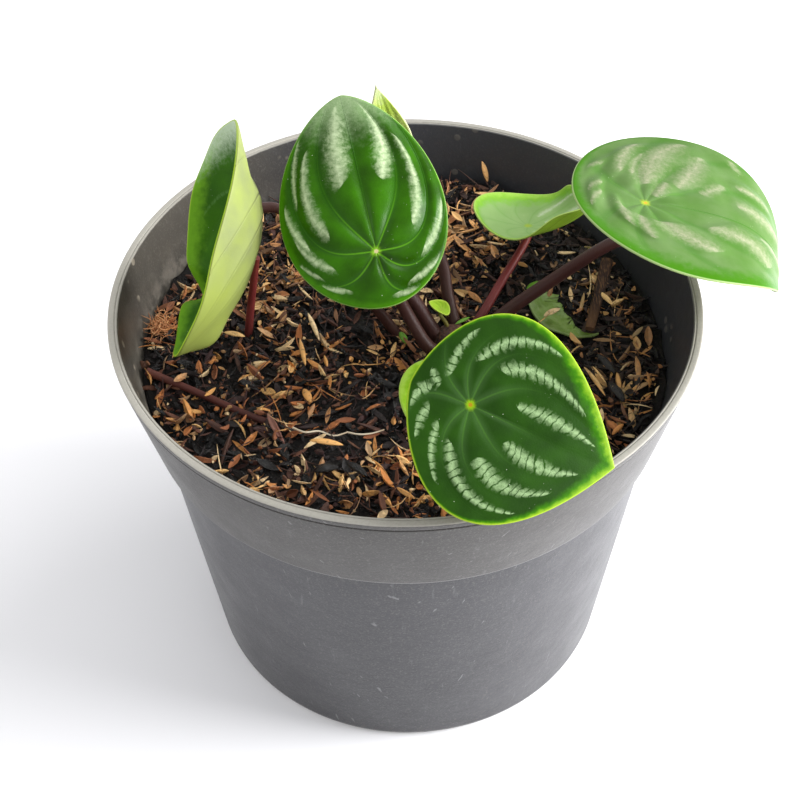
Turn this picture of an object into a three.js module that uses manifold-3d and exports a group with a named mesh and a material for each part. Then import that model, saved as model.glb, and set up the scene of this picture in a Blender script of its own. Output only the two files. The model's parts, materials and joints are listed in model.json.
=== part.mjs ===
import * as THREE from 'three';
import { mergeVertices } from 'three/addons/utils/BufferGeometryUtils.js';
import Module from 'manifold-3d';

// Peperomia with silver-striped leaves in a round nursery pot. Millimetres and degrees, +Z up.
// The origin is on the pot's axis, on the table. The front of the plant faces -Y.

// Clearance between pieces that touch.
const gap = 0.3;

// Nursery pot: a wide upper band over a narrower tapered body.
const pot = {
  height: 155,
  rimRadius: 100,
  rimLand: 3.4,
  bandHeight: 40,
  bandFootRadius: 91.4,
  bodyTopRadius: 88.2,
  bodyFootRadius: 76.5,
  cornerRadius: 4,
  wall: 2.4,
  floor: 2.6,
  innerSlope: 0.22,
  innerStep: 8,
  lipGroove: { below: 2.6, width: 0.9, depth: 0.6 },
  drains: { count: 8, ringRadius: 55, radius: 5 },
  sides: 56,
};

// Soil: its level, and how much its back left side stands higher.
const soil = {
  level: 129.5,
  rise: 2.5,
  rings: 6,
  sides: 36,
  chips: { count: 120, length: [14, 22], width: [5, 7.5], depth: [3.4, 5], tilt: 0.28, spread: 88, seed: 20 },
};

// The short stem that the stalks spring from.
const crown = { x: 17, y: 1, top: 136, foot: 108, radius: 8.6 };

// Blades. `joint` is where the stalk meets the blade, `heading` the compass turn of the tip from +X,
// `pitch` its climb and `roll` the turn of the blade about its midrib. `stalkAt` is the share of the
// length behind the stalk. The angles droop to cup are radians: droop and tipDroop bend the midrib
// down, fold and cup lift both halves, and a wave lifts one half near one place on the midrib. A
// dent lifts the blade by a few millimetres round one place on it.
const blades = {
  leaf_left: {
    joint: [-47.7, 10.6, 184.8], heading: -87, pitch: -45, roll: 69, length: 89, width: 70,
    basePower: 0.37, tipPower: 0.44, stalkAt: 0.335, droop: -1.65, tipDroop: -0.38,
    fold: 0.71, cup: 0.33, skew: 0.05, twist: 0.23, thickness: 0.9, green: 0x55802f,
    waves: [
      { side: 1, at: 0.66, reach: 0.19, lift: -0.3 },
      { side: -1, at: 0.66, reach: 0.1, lift: -0.56 },
      { side: -1, at: 0.345, reach: 0.068, lift: -0.72 },
      { side: -1, at: -0.33, reach: 0.12, lift: -0.66 },
    ],
    dents: [
      { x: -14.8, y: 9.2, reach: 9.2, lift: 4.2 },
      { x: 46.8, y: -2, reach: 6.6, lift: -2.9 },
    ],
  },
  leaf_centre: {
    joint: [-9, -15, 187.5], heading: 106, pitch: 42.4, roll: -10, length: 71, width: 55,
    basePower: 0.53, tipPower: 0.69, stalkAt: 0.255, droop: 0.45, tipDroop: -0.05,
    fold: -0.01, cup: -0.44, skew: 0.055, twist: 0.02, waves: [], thickness: 1.0, green: 0x2f6a27,
  },
  leaf_front: {
    joint: [18.2, -75.3, 180.1], heading: -11.8, pitch: -20.8, roll: 27, length: 67.5, width: 64.3,
    basePower: 0.67, tipPower: 0.99, stalkAt: 0.28, droop: 0.29, tipDroop: -0.03,
    fold: 0.18, cup: -0.18, skew: -0.02, twist: 0.03, waves: [], thickness: 1.0, green: 0x2c5a22,
  },
  leaf_right: {
    joint: [77.2, -0.3, 193.7], heading: -2, pitch: -11.8, roll: -4, length: 89.6, width: 73.3,
    basePower: 0.5, tipPower: 0.78, stalkAt: 0.27, droop: 0.155, tipDroop: 4.77,
    fold: 0.07, cup: -0.1, skew: 0.07, twist: 0.26, waves: [], thickness: 1.0, green: 0x4c8a38,
  },
  leaf_back: {
    joint: [-4.8, 50, 179], heading: -141, pitch: 81, roll: -105, length: 38, width: 18,
    basePower: 0.55, tipPower: 1.2, stalkAt: 0.28, droop: 0.1, tipDroop: 0.2,
    fold: 0.45, cup: 0.2, skew: 0, twist: 0, waves: [], thickness: 0.8, green: 0x86a838,
  },
  leaf_young_right: {
    joint: [44.8, 41.6, 149.3], heading: -13, pitch: 3, roll: -12, length: 52, width: 39.5,
    basePower: 0.51, tipPower: 0.56, stalkAt: 0.42, droop: -1.82, tipDroop: 0.05,
    fold: 0.5, cup: -0.26, skew: 0, twist: -0.04, thickness: 0.8, green: 0x7fa562,
    waves: [
      { side: 1, at: 0.38, reach: 0.145, lift: 0.78 },
      { side: -1, at: 0.46, reach: 0.34, lift: 1.05 },
    ],
  },
  leaf_young_front: {
    joint: [9.6, -34, 148], heading: -105, pitch: -14, roll: 6, length: 28, width: 23,
    basePower: 0.5, tipPower: 0.7, stalkAt: 0.32, droop: 0.5, tipDroop: 0.2,
    fold: 0.2, cup: -0.1, skew: 0, twist: 0, waves: [], thickness: 0.8, green: 0x6f9a2e,
  },
  leaf_sprout: {
    joint: [12.8, 6.8, 141.4], heading: 165, pitch: 22, roll: 0, length: 8.4, width: 7,
    basePower: 0.5, tipPower: 0.8, stalkAt: 0.35, droop: -0.6, tipDroop: 0,
    fold: 0.7, cup: 0.2, skew: 0, twist: 0, waves: [], thickness: 0.6, green: 0x9fc034,
  },
};

// Stalks: the foot, the points that each passes on its way up, and how far before the blade it
// turns square to it.
const stalks = {
  stalk_left: {
    blade: 'leaf_left', footRadius: 1.9, topRadius: 1.6, approach: 6,
    points: [[-0.5, 6, 126.5], [-8.7, 5, 142], [-21, 8.3, 159.5], [-34, 11.8, 176.5]],
  },
  stalk_centre: {
    blade: 'leaf_centre', footRadius: 2.3, topRadius: 1.8, approach: 12,
    points: [[12, -4, 130.5], [7.6, -5, 135.5], [0, 0, 148], [-6, 0.6, 164]],
  },
  stalk_front: {
    blade: 'leaf_front', footRadius: 2.2, topRadius: 1.8, approach: 12,
    points: [[18, -5.5, 130.5], [19, -20, 147], [17, -48, 162]],
  },
  stalk_right: {
    blade: 'leaf_right', footRadius: 2.4, topRadius: 2, approach: 12,
    points: [[23.2, 1.5, 130.5], [33.2, 6, 138.5], [51.3, 7, 155], [66, 2, 173]],
  },
  stalk_back: {
    blade: 'leaf_back', footRadius: 2.2, topRadius: 1.4, approach: 6,
    points: [[18, 7, 130.5], [15.2, 14.2, 141], [13.3, 22, 150], [5, 43, 160], [-3, 56, 170]],
  },
  stalk_young_right: {
    blade: 'leaf_young_right', footRadius: 1.7, topRadius: 1.4, approach: 4,
    points: [[22, 6.2, 130.5], [26.5, 10.7, 134], [33.9, 21.7, 139.5]],
  },
  stalk_young_front: {
    blade: 'leaf_young_front', footRadius: 1.4, topRadius: 1.2, approach: 5,
    points: [[15, -12.5, 127], [12, -22, 137]],
  },
  stalk_sprout: {
    blade: 'leaf_sprout', footRadius: 0.8, topRadius: 0.6, approach: 2,
    points: [[15.2, 4.5, 132], [14.4, 5.2, 136]],
  },
};

// Leafless stalks, cut or broken off at the top.
const stubs = {
  stub_centre: {
    footRadius: 2.8, topRadius: 2.5,
    points: [[11.2, 3.2, 130.5], [7.5, 4.6, 138], [2.8, 7, 146], [-6, 10, 157]],
  },
  stub_left: {
    footRadius: 1.5, topRadius: 1.2, points: [[-55.8, 6.2, 126.5], [-53.8, 8.4, 141], [-49.8, 8.7, 165]],
  },
};

// What lies on the soil.
const fallenStalk = {
  footRadius: 1.6, topRadius: 1.4,
  points: [[-88.2, -14.2, 134.4], [-70, -24, 133.6], [-55.7, -32, 132.8], [-47.2, -36.2, 132.2]],
};
const fallenSheath = {
  joint: [-44.2, -39.5, 134.6], heading: -61, pitch: -17, roll: 20, length: 15, width: 3.2,
  basePower: 0.8, tipPower: 1.1, stalkAt: 0.3, droop: 0.2, tipDroop: 0,
  fold: 0.4, cup: 0.3, skew: 0, twist: 0.3, waves: [], thickness: 0.6,
};
const barkStrip = {
  footRadius: 2.3, topRadius: 1.7, flatness: 0.62,
  points: [[74.5, 40, 133.7], [70.3, 25, 133.5], [64.6, 4.5, 133.2]],
};
const tornLeaf = {
  thickness: 1.0,
  rest: [56, 13],
  above: 1.6,
  curl: { centre: [62.6, 19], flatWithin: 9, span: 11, lift: 3 },
  outerEdge: [[47.6, 29], [44.4, 26], [45.2, 16], [49.8, 8], [56.6, 4], [62.6, 2.6], [68, 4.6]],
  tornEdge: [[62.6, 6.6], [60.2, 9.8], [59.2, 14.4], [56.8, 17], [56.6, 21.4], [55, 23.2], [56, 26]],
};

const colours = {
  pot: 0x5c5c5e,
  soil: 0x3a2c20,
  stalk: 0x4a2320,
  redStalk: 0x7a3a33,
  crown: 0x3a2620,
  sheath: 0x8a6a4c,
  bark: 0x4a3326,
  tornLeaf: 0x4d6f3a,
};

// The same sequence of numbers between 0 and 1 on every run.
function seededNumbers(seed) {
  let state = seed;
  return () => {
    state = (state + 0x6d2b79f5) | 0;
    let mixed = Math.imul(state ^ (state >>> 15), 1 | state);
    mixed = (mixed + Math.imul(mixed ^ (mixed >>> 7), 61 | mixed)) ^ mixed;
    return ((mixed ^ (mixed >>> 14)) >>> 0) / 4294967296;
  };
}

const wasm = await Module();
wasm.setup();

// Turns a closed geometry into a solid for cutting and joining.
function toSolid(geometry) {
  const bare = geometry.clone();
  bare.deleteAttribute('normal');
  bare.deleteAttribute('uv');
  const merged = mergeVertices(bare, 1e-4);
  const corners = merged.index.array;
  const kept = [];
  for (let i = 0; i < corners.length; i += 3) {
    const [a, b, c] = [corners[i], corners[i + 1], corners[i + 2]];
    if (a !== b && b !== c && c !== a) kept.push(a, b, c);
  }
  return new wasm.Manifold(new wasm.Mesh({
    numProp: 3,
    vertProperties: new Float32Array(merged.attributes.position.array),
    triVerts: new Uint32Array(kept),
  }));
}

function toGeometry(solid) {
  const mesh = solid.getMesh();
  const geometry = new THREE.BufferGeometry();
  geometry.setAttribute('position', new THREE.BufferAttribute(mesh.vertProperties, 3));
  geometry.setIndex(new THREE.BufferAttribute(mesh.triVerts, 1));
  geometry.computeVertexNormals();
  return geometry;
}

// The biggest body of a solid, without the scraps that a cut leaves.
function biggestBody(solid) {
  const bodies = solid.decompose();
  return bodies.reduce((best, body) => (body.volume() > best.volume() ? body : best));
}

// A shape turned round the Z axis from [radius, height] pairs that start and end on the axis.
function turned(profile, sides) {
  const points = profile.map(([radius, height]) => new THREE.Vector2(radius, height));
  return new THREE.LatheGeometry(points, sides).rotateX(Math.PI / 2);
}

// Radius of the pot's outer face and of its inner face at a height.
function outerRadius(z) {
  const bandFoot = pot.height - pot.bandHeight;
  if (z >= bandFoot) {
    return pot.bandFootRadius + (pot.rimRadius - pot.bandFootRadius) * (z - bandFoot) / pot.bandHeight;
  }
  return pot.bodyFootRadius + (pot.bodyTopRadius - pot.bodyFootRadius) * z / bandFoot;
}

function innerRadius(z) {
  const bandFoot = pot.height - pot.bandHeight;
  const stepFoot = bandFoot - pot.innerStep;
  const inBand = (height) => pot.rimRadius - pot.rimLand - (pot.height - height) * pot.innerSlope;
  if (z >= bandFoot) return inBand(z);
  if (z < stepFoot) return outerRadius(z) - pot.wall;
  const inBody = outerRadius(stepFoot) - pot.wall;
  return THREE.MathUtils.lerp(inBand(bandFoot), inBody, (bandFoot - z) / pot.innerStep);
}

function potGeometry() {
  const bandFoot = pot.height - pot.bandHeight;
  const groove = pot.lipGroove;
  const grooveTop = pot.height - groove.below;
  const corner = [];
  for (const turn of [0, 30, 60, 90]) {
    const angle = THREE.MathUtils.degToRad(turn);
    corner.push([
      pot.bodyFootRadius - pot.cornerRadius * (1 - Math.sin(angle)),
      pot.cornerRadius * (1 - Math.cos(angle)),
    ]);
  }
  const profile = [
    [0, 0],
    ...corner,
    [pot.bodyTopRadius, bandFoot - 3.2],
    [pot.bodyTopRadius + 0.5, bandFoot - 1],
    [pot.bandFootRadius - 0.6, bandFoot],
    [pot.bandFootRadius, bandFoot + 0.8],
    [outerRadius(grooveTop - groove.width), grooveTop - groove.width],
    [outerRadius(grooveTop) - groove.depth, grooveTop - groove.width / 2],
    [outerRadius(grooveTop), grooveTop],
    [pot.rimRadius, pot.height - 0.7],
    [pot.rimRadius - 0.6, pot.height],
    [pot.rimRadius - pot.rimLand + 0.6, pot.height],
    [pot.rimRadius - pot.rimLand, pot.height - 0.6],
    [innerRadius(bandFoot), bandFoot],
    [innerRadius(bandFoot - pot.innerStep), bandFoot - pot.innerStep],
    [innerRadius(pot.floor + 5), pot.floor + 5],
    [innerRadius(pot.floor) - 4, pot.floor],
    [0, pot.floor],
  ];
  let shell = toSolid(turned(profile, pot.sides));
  const drainTop = pot.floor + 1;
  const drainProfile = [[0, -1], [pot.drains.radius, -1], [pot.drains.radius, drainTop], [0, drainTop]];
  for (let i = 0; i < pot.drains.count; i++) {
    const turn = 2 * Math.PI * i / pot.drains.count;
    const bore = turned(drainProfile, 12);
    bore.translate(pot.drains.ringRadius * Math.cos(turn), pot.drains.ringRadius * Math.sin(turn), 0);
    shell = shell.subtract(toSolid(bore));
  }
  return toGeometry(shell);
}

// Height of the soil, without its chips.
function ground(x, y) {
  const slope = THREE.MathUtils.clamp((y - x) / 150, -0.6, 1);
  const swells = 0.8 * Math.sin(x / 17 + 1) * Math.cos(y / 21) + 0.6 * Math.sin((x + 2 * y) / 23);
  return soil.level + soil.rise * slope + swells;
}

function soilBody() {
  const floor = pot.floor + gap;
  const bandFoot = pot.height - pot.bandHeight;
  const profile = [
    [0, floor],
    [innerRadius(pot.floor) - 4 - gap, floor],
    [innerRadius(pot.floor + 5) - gap, pot.floor + 5],
    [innerRadius(bandFoot - pot.innerStep) - gap, bandFoot - pot.innerStep],
    [innerRadius(bandFoot) - gap, bandFoot],
  ];
  for (let ring = soil.rings; ring >= 0; ring--) {
    profile.push([(innerRadius(soil.level) - gap) * ring / soil.rings, soil.level]);
  }
  const body = turned(profile, soil.sides);
  const spot = body.attributes.position;
  const edge = innerRadius(soil.level) - gap;
  for (let i = 0; i < spot.count; i++) {
    const [x, y, z] = [spot.getX(i), spot.getY(i), spot.getZ(i)];
    if (z < soil.level - 0.01) continue;
    const height = ground(x, y);
    const reach = Math.hypot(x, y) > edge - 0.01 ? (innerRadius(height) - gap) / edge : 1;
    spot.setXYZ(i, x * reach, y * reach, height);
  }
  return toSolid(body);
}

// A husk or chip as a flat spindle with four long edges.
function chipGeometry(length, width, depth) {
  const spindle = new THREE.OctahedronGeometry(1);
  spindle.scale(length / 2, width / 2, depth / 2);
  return spindle;
}

function chipSolids() {
  const { chips } = soil;
  const random = seededNumbers(chips.seed);
  const between = (low, high) => low + (high - low) * random();
  const solids = [];
  while (solids.length < chips.count) {
    const radius = chips.spread * Math.sqrt(random());
    const turn = 2 * Math.PI * random();
    const [x, y] = [radius * Math.cos(turn), radius * Math.sin(turn)];
    const chip = chipGeometry(between(...chips.length), between(...chips.width), between(...chips.depth));
    const heading = between(0, Math.PI);
    const tilt = between(-chips.tilt, chips.tilt);
    chip.rotateX(between(-0.5, 0.5)).rotateY(tilt).rotateZ(heading);
    chip.translate(x, y, ground(x, y) + between(0.1, 1));
    const spot = chip.attributes.position;
    let clear = true;
    for (let i = 0; i < spot.count; i++) {
      const room = innerRadius(spot.getZ(i)) - gap;
      if (Math.hypot(spot.getX(i), spot.getY(i)) > room - 0.3) clear = false;
    }
    if (clear) solids.push(toSolid(chip));
  }
  return solids;
}

// A round bar bent along a path, with a straight taper from foot to top.
function barAlong(points, footRadius, topRadius, { sides = 8, steps = 10, flatness = 1 } = {}) {
  const knots = points.map((point) => new THREE.Vector3(...point));
  const path = new THREE.CatmullRomCurve3(knots, false, 'centripetal');
  const rim = [];
  for (let i = 0; i < sides; i++) {
    const turn = 2 * Math.PI * i / sides;
    rim.push(new THREE.Vector2(Math.cos(turn), Math.sin(turn)));
  }
  const bar = new THREE.ExtrudeGeometry(new THREE.Shape(rim), { steps, depth: 1, bevelEnabled: false });
  const frames = path.computeFrenetFrames(steps);
  const spot = bar.attributes.position;
  for (let i = 0; i < spot.count; i++) {
    const step = Math.round(spot.getZ(i) * steps);
    const radius = THREE.MathUtils.lerp(footRadius, topRadius, step / steps);
    const place = path.getPointAt(step / steps);
    place.addScaledVector(frames.normals[step], spot.getX(i) * radius * flatness);
    place.addScaledVector(frames.binormals[step], spot.getY(i) * radius);
    spot.setXYZ(i, place.x, place.y, place.z);
  }
  bar.computeVertexNormals();
  return bar;
}

// Margin of the flat blade, measured from the stalk. Turn 0 is the base and pi is the tip.
function flatMargin(leaf, turn) {
  const along = (1 - Math.cos(turn)) / 2;
  const widest = leaf.basePower / (leaf.basePower + leaf.tipPower);
  const peak = widest ** leaf.basePower * (1 - widest) ** leaf.tipPower;
  const spread = along ** leaf.basePower * (1 - along) ** leaf.tipPower / peak;
  const side = turn <= Math.PI ? 1 : -1;
  return [(along - leaf.stalkAt) * leaf.length, side * leaf.width / 2 * spread * (1 + side * leaf.skew)];
}

// Average direction of a line whose angle changes along it.
function meanDirection(angleAt, steps = 16) {
  let [cosine, sine] = [0, 0];
  for (let i = 0; i < steps; i++) {
    const angle = angleAt((i + 0.5) / steps);
    cosine += Math.cos(angle) / steps;
    sine += Math.sin(angle) / steps;
  }
  return [cosine, sine];
}

// Where a point of the flat blade goes once the blade is drooped, folded, cupped and twisted.
function bentPoint(leaf, x, y) {
  const along = x / leaf.length;
  const droopAt = (share) => leaf.droop * share + leaf.tipDroop * Math.max(share - 0.15, 0) ** 2;
  const [forward, down] = meanDirection((share) => droopAt(share * along));
  const reach = Math.abs(y);
  const side = Math.sign(y);
  let cup = leaf.cup;
  for (const wave of leaf.waves) {
    if (wave.side === side) cup += wave.lift * Math.exp(-(((along - wave.at) / wave.reach) ** 2));
  }
  const [outward, up] = meanDirection((share) => {
    const distance = reach * share;
    return leaf.fold * (1 - Math.exp(-distance / (0.25 * leaf.width))) + cup * distance / (leaf.width / 2);
  });
  let height = reach * up;
  for (const dent of leaf.dents ?? []) {
    height += dent.lift * Math.exp(-(((x - dent.x) ** 2 + (y - dent.y) ** 2) / dent.reach ** 2));
  }
  const twist = leaf.twist * along;
  const across = side * reach * outward * Math.cos(twist) - height * Math.sin(twist);
  const lift = side * reach * outward * Math.sin(twist) + height * Math.cos(twist);
  const droop = droopAt(along);
  return new THREE.Vector3(x * forward + lift * Math.sin(droop), across, -x * down + lift * Math.cos(droop));
}

// A blade in its own frame: the stalk joint at the origin, the tip towards +X, the upper face up.
function bladeGeometry(leaf, rings = 5, spokes = 36) {
  const tops = [];
  const bottoms = [];
  const step = leaf.length * 0.004;
  const addPoint = (x, y) => {
    const middle = bentPoint(leaf, x, y);
    const ahead = bentPoint(leaf, x + step, y).sub(bentPoint(leaf, x - step, y));
    const aside = bentPoint(leaf, x, y + step).sub(bentPoint(leaf, x, y - step));
    const normal = ahead.cross(aside).normalize().multiplyScalar(leaf.thickness / 2);
    tops.push(middle.clone().add(normal));
    bottoms.push(middle.clone().sub(normal));
  };
  addPoint(0, 0);
  for (let ring = 1; ring <= rings; ring++) {
    for (let spoke = 0; spoke < spokes; spoke++) {
      const [x, y] = flatMargin(leaf, 2 * Math.PI * spoke / spokes);
      addPoint(x * ring / rings, y * ring / rings);
    }
  }
  const half = tops.length;
  const at = (ring, spoke) => (ring === 0 ? 0 : 1 + (ring - 1) * spokes + (spoke % spokes));
  const faces = [];
  // Both faces take the same triangles, turned over on the underside.
  const addFace = (a, b, c) => faces.push(a, b, c, half + a, half + c, half + b);
  for (let spoke = 0; spoke < spokes; spoke++) {
    addFace(at(0, 0), at(1, spoke + 1), at(1, spoke));
    for (let ring = 1; ring < rings; ring++) {
      addFace(at(ring, spoke), at(ring + 1, spoke + 1), at(ring + 1, spoke));
      addFace(at(ring, spoke), at(ring, spoke + 1), at(ring + 1, spoke + 1));
    }
    const [near, next] = [at(rings, spoke), at(rings, spoke + 1)];
    faces.push(near, next, half + near, next, half + next, half + near);
  }
  const geometry = new THREE.BufferGeometry().setFromPoints([...tops, ...bottoms]);
  geometry.setIndex(faces);
  geometry.computeVertexNormals();
  return geometry;
}

// The blade's own axes in the plant: the tip, the side and the upper face.
function bladeAxes(leaf) {
  const [heading, pitch, roll] = [leaf.heading, leaf.pitch, leaf.roll].map(THREE.MathUtils.degToRad);
  const tip = new THREE.Vector3(
    Math.cos(heading) * Math.cos(pitch),
    Math.sin(heading) * Math.cos(pitch),
    Math.sin(pitch),
  );
  const level = new THREE.Vector3(-Math.sin(heading), Math.cos(heading), 0);
  const side = level.applyAxisAngle(tip, roll);
  return [tip, side, tip.clone().cross(side)];
}

// The whole path of a stalk, which ends square to the blade, just under it.
function stalkPath(stalk) {
  const leaf = blades[stalk.blade];
  const [, , face] = bladeAxes(leaf);
  const joint = new THREE.Vector3(...leaf.joint);
  const under = joint.clone().addScaledVector(face, -stalk.approach);
  const end = joint.clone().addScaledVector(face, -leaf.thickness / 2 - gap);
  return [...stalk.points, under.toArray(), end.toArray()];
}

// A bar's path, lengthened below its foot so that its hole is deeper than the bar.
function deepened(points) {
  const [foot, next] = [new THREE.Vector3(...points[0]), new THREE.Vector3(...points[1])];
  const below = foot.clone().addScaledVector(next.sub(foot).normalize(), -gap);
  return [below.toArray(), ...points.slice(1)];
}

function crownGeometry() {
  const { x, y, top, foot, radius } = crown;
  const profile = [
    [0, foot], [radius * 0.35, foot + 1], [radius * 0.6, foot + 9], [radius * 0.85, foot + 17],
    [radius, foot + 21], [radius * 0.95, top - 4], [radius * 0.7, top - 1], [0, top],
  ];
  const geometry = turned(profile, 18);
  const spot = geometry.attributes.position;
  for (let i = 0; i < spot.count; i++) {
    const turn = Math.atan2(spot.getY(i), spot.getX(i));
    const swell = 1 + 0.06 * Math.sin(3 * turn + 1) + 0.03 * Math.sin(7 * turn);
    spot.setXYZ(i, spot.getX(i) * swell + x, spot.getY(i) * swell + y, spot.getZ(i));
  }
  return geometry;
}

function crownRoom() {
  const room = crownGeometry();
  const grow = 1 + gap / crown.radius * 1.6;
  room.translate(-crown.x, -crown.y, -crown.top);
  room.scale(grow, grow, 1 + 2 * gap / (crown.top - crown.foot));
  room.translate(crown.x, crown.y, crown.top + gap);
  return room;
}

function sheathRoom() {
  const grown = {
    ...fallenSheath,
    length: fallenSheath.length + 4 * gap,
    width: fallenSheath.width + 4 * gap,
    thickness: fallenSheath.thickness + 2 * gap,
  };
  const room = placedBlade('room', grown, undefined, 2, 16);
  room.updateMatrix();
  return toSolid(room.geometry.applyMatrix4(room.matrix));
}

// The torn piece of an old leaf: a crescent whose outer edge curls up.
function tornLeafGeometry(spread, thickness) {
  const outer = new THREE.SplineCurve(tornLeaf.outerEdge.map(([x, y]) => new THREE.Vector2(x, y)));
  const torn = tornLeaf.tornEdge.map(([x, y]) => new THREE.Vector2(x, y));
  const outline = [...outer.getPoints(14), ...torn];
  const total = outline.reduce((sum, point) => sum.add(point), new THREE.Vector2());
  const middle = total.divideScalar(outline.length);
  const grown = outline.map((point) => {
    const away = point.clone().sub(middle);
    return point.clone().add(away.clone().setLength(spread));
  });
  const sheet = new THREE.ExtrudeGeometry(new THREE.Shape(grown), { depth: thickness, bevelEnabled: false });
  const spot = sheet.attributes.position;
  const { centre, flatWithin, span, lift } = tornLeaf.curl;
  const foot = ground(...tornLeaf.rest) + tornLeaf.above - (thickness - tornLeaf.thickness) / 2;
  for (let i = 0; i < spot.count; i++) {
    const distance = Math.hypot(spot.getX(i) - centre[0], spot.getY(i) - centre[1]);
    const out = Math.max(distance - flatWithin, 0) / span;
    spot.setZ(i, spot.getZ(i) + foot + lift * out * out);
  }
  return sheet;
}

function finish(colour, roughness) {
  return new THREE.MeshStandardMaterial({ color: colour, roughness, metalness: 0 });
}

function named(name, geometry, material) {
  const mesh = new THREE.Mesh(geometry, material);
  mesh.name = name;
  return mesh;
}

function placedBlade(name, leaf, material, rings, spokes) {
  const mesh = named(name, bladeGeometry(leaf, rings, spokes), material);
  const axes = new THREE.Matrix4().makeBasis(...bladeAxes(leaf));
  mesh.quaternion.setFromRotationMatrix(axes);
  mesh.position.set(...leaf.joint);
  return mesh;
}

const potMesh = named('pot', potGeometry(), finish(colours.pot, 0.55));

// Every stalk with the room that its foot needs.
const stems = new THREE.Group();
const rooms = [];
const redStalks = ['stalk_left', 'stalk_young_right', 'stub_left'];
const stalkColour = (name) => (redStalks.includes(name) ? colours.redStalk : colours.stalk);
function addBar(name, spec, points, options, colour = stalkColour(name)) {
  stems.add(named(name, barAlong(points, spec.footRadius, spec.topRadius, options), finish(colour, 0.45)));
  rooms.push(toSolid(barAlong(deepened(points), spec.footRadius + gap, spec.topRadius + gap, options)));
}
for (const [name, stalk] of Object.entries(stalks)) addBar(name, stalk, stalkPath(stalk));
for (const [name, stub] of Object.entries(stubs)) addBar(name, stub, stub.points);

const crownSolid = rooms.reduce((solid, room) => solid.subtract(room), toSolid(crownGeometry()));
stems.add(named('crown', toGeometry(biggestBody(crownSolid)), finish(colours.crown, 0.7)));

const litter = new THREE.Group();
addBar('fallen_stalk', fallenStalk, fallenStalk.points, { steps: 8 }, colours.stalk);
const barkShape = { sides: 6, steps: 5, flatness: barkStrip.flatness };
addBar('bark_strip', barkStrip, barkStrip.points, barkShape, colours.bark);
litter.add(named('torn_leaf', tornLeafGeometry(0, tornLeaf.thickness), finish(colours.tornLeaf, 0.5)));
litter.add(placedBlade('fallen_sheath', fallenSheath, finish(colours.sheath, 0.8), 2, 16));
rooms.push(toSolid(tornLeafGeometry(gap, tornLeaf.thickness + 2 * gap)), toSolid(crownRoom()), sheathRoom());

const filled = wasm.Manifold.union([soilBody(), ...chipSolids()]);
const soilSolid = rooms.reduce((solid, room) => solid.subtract(room), filled);
const soilMesh = named('soil', toGeometry(biggestBody(soilSolid)), finish(colours.soil, 0.95));

const leaves = new THREE.Group();
const bladeMeshes = {
  leaf_left: [6, 48],
  leaf_back: [4, 24],
  leaf_young_right: [4, 32],
  leaf_young_front: [3, 20],
  leaf_sprout: [3, 16],
};
for (const [name, leaf] of Object.entries(blades)) {
  leaves.add(placedBlade(name, leaf, finish(leaf.green, 0.35), ...(bladeMeshes[name] ?? [])));
}

const pottedPeperomia = new THREE.Group();
pottedPeperomia.add(potMesh, soilMesh, litter, stems, leaves);

export default pottedPeperomia;
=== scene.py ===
# %% [markdown]
# # A potted peperomia
# The plant stands in a round nursery pot of grey plastic, in soil that is covered with rice
# husks. Its leaves are round shields with silver stripes, each held by a dark red stalk that
# meets the blade well inside its edge. The solids of the part come in as a fixed frame, and
# this script builds a finer piece around each of them, in the same place.

import json
import math

import bpy
import numpy as np
from mathutils import Matrix, Vector

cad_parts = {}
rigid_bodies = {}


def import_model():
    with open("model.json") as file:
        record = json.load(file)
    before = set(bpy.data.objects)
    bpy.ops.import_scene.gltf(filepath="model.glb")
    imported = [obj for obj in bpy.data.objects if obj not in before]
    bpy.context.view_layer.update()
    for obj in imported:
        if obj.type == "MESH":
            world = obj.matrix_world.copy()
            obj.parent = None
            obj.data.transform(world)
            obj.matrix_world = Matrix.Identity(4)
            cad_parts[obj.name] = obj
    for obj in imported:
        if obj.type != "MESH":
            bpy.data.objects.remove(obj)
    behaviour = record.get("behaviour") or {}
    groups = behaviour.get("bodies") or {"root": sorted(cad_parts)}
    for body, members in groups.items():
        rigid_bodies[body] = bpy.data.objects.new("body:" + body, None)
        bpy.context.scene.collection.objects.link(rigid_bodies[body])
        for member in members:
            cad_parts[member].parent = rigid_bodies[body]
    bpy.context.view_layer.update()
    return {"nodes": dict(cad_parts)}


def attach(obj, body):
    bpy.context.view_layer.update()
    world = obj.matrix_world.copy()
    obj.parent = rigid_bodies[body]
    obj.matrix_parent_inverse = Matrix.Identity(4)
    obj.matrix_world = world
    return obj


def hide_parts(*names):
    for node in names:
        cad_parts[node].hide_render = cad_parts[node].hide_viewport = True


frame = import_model()
print("nodes in the frame:", len(frame["nodes"]))

# %% [markdown]
# Sizes are written in millimetres, as a gardener would measure them, and turned into Blender's
# metres in the one helper that makes a mesh. Every piece rides on the part's only body, takes
# its finish from a named slot, and hides the plain solid that it stands for.

# %% Helpers for pieces
MM = 0.001
BODY = "root"


def add_piece(name, mesh, materials, replaces=()):
    """Puts a finished mesh into the scene as a piece of the plant."""
    piece = bpy.data.objects.new(name, mesh)
    bpy.context.scene.collection.objects.link(piece)
    mesh.materials.clear()
    for material in materials:
        mesh.materials.append(material)
    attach(piece, BODY)
    if replaces:
        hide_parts(*replaces)
    return piece


def shade_smooth(mesh, sharp_above=None):
    """Smooth shading, but for edges where faces meet at more than that many degrees."""
    mesh.polygons.foreach_set("use_smooth", [True] * len(mesh.polygons))
    if sharp_above is not None:
        mesh.set_sharp_from_angle(angle=math.radians(sharp_above))


def mesh_of(name, points, faces):
    """A smooth mesh from points in millimetres."""
    mesh = bpy.data.meshes.new(name)
    mesh.from_pydata((np.asarray(points, float) * MM).tolist(), [], faces)
    mesh.validate()
    shade_smooth(mesh)
    return mesh


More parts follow.
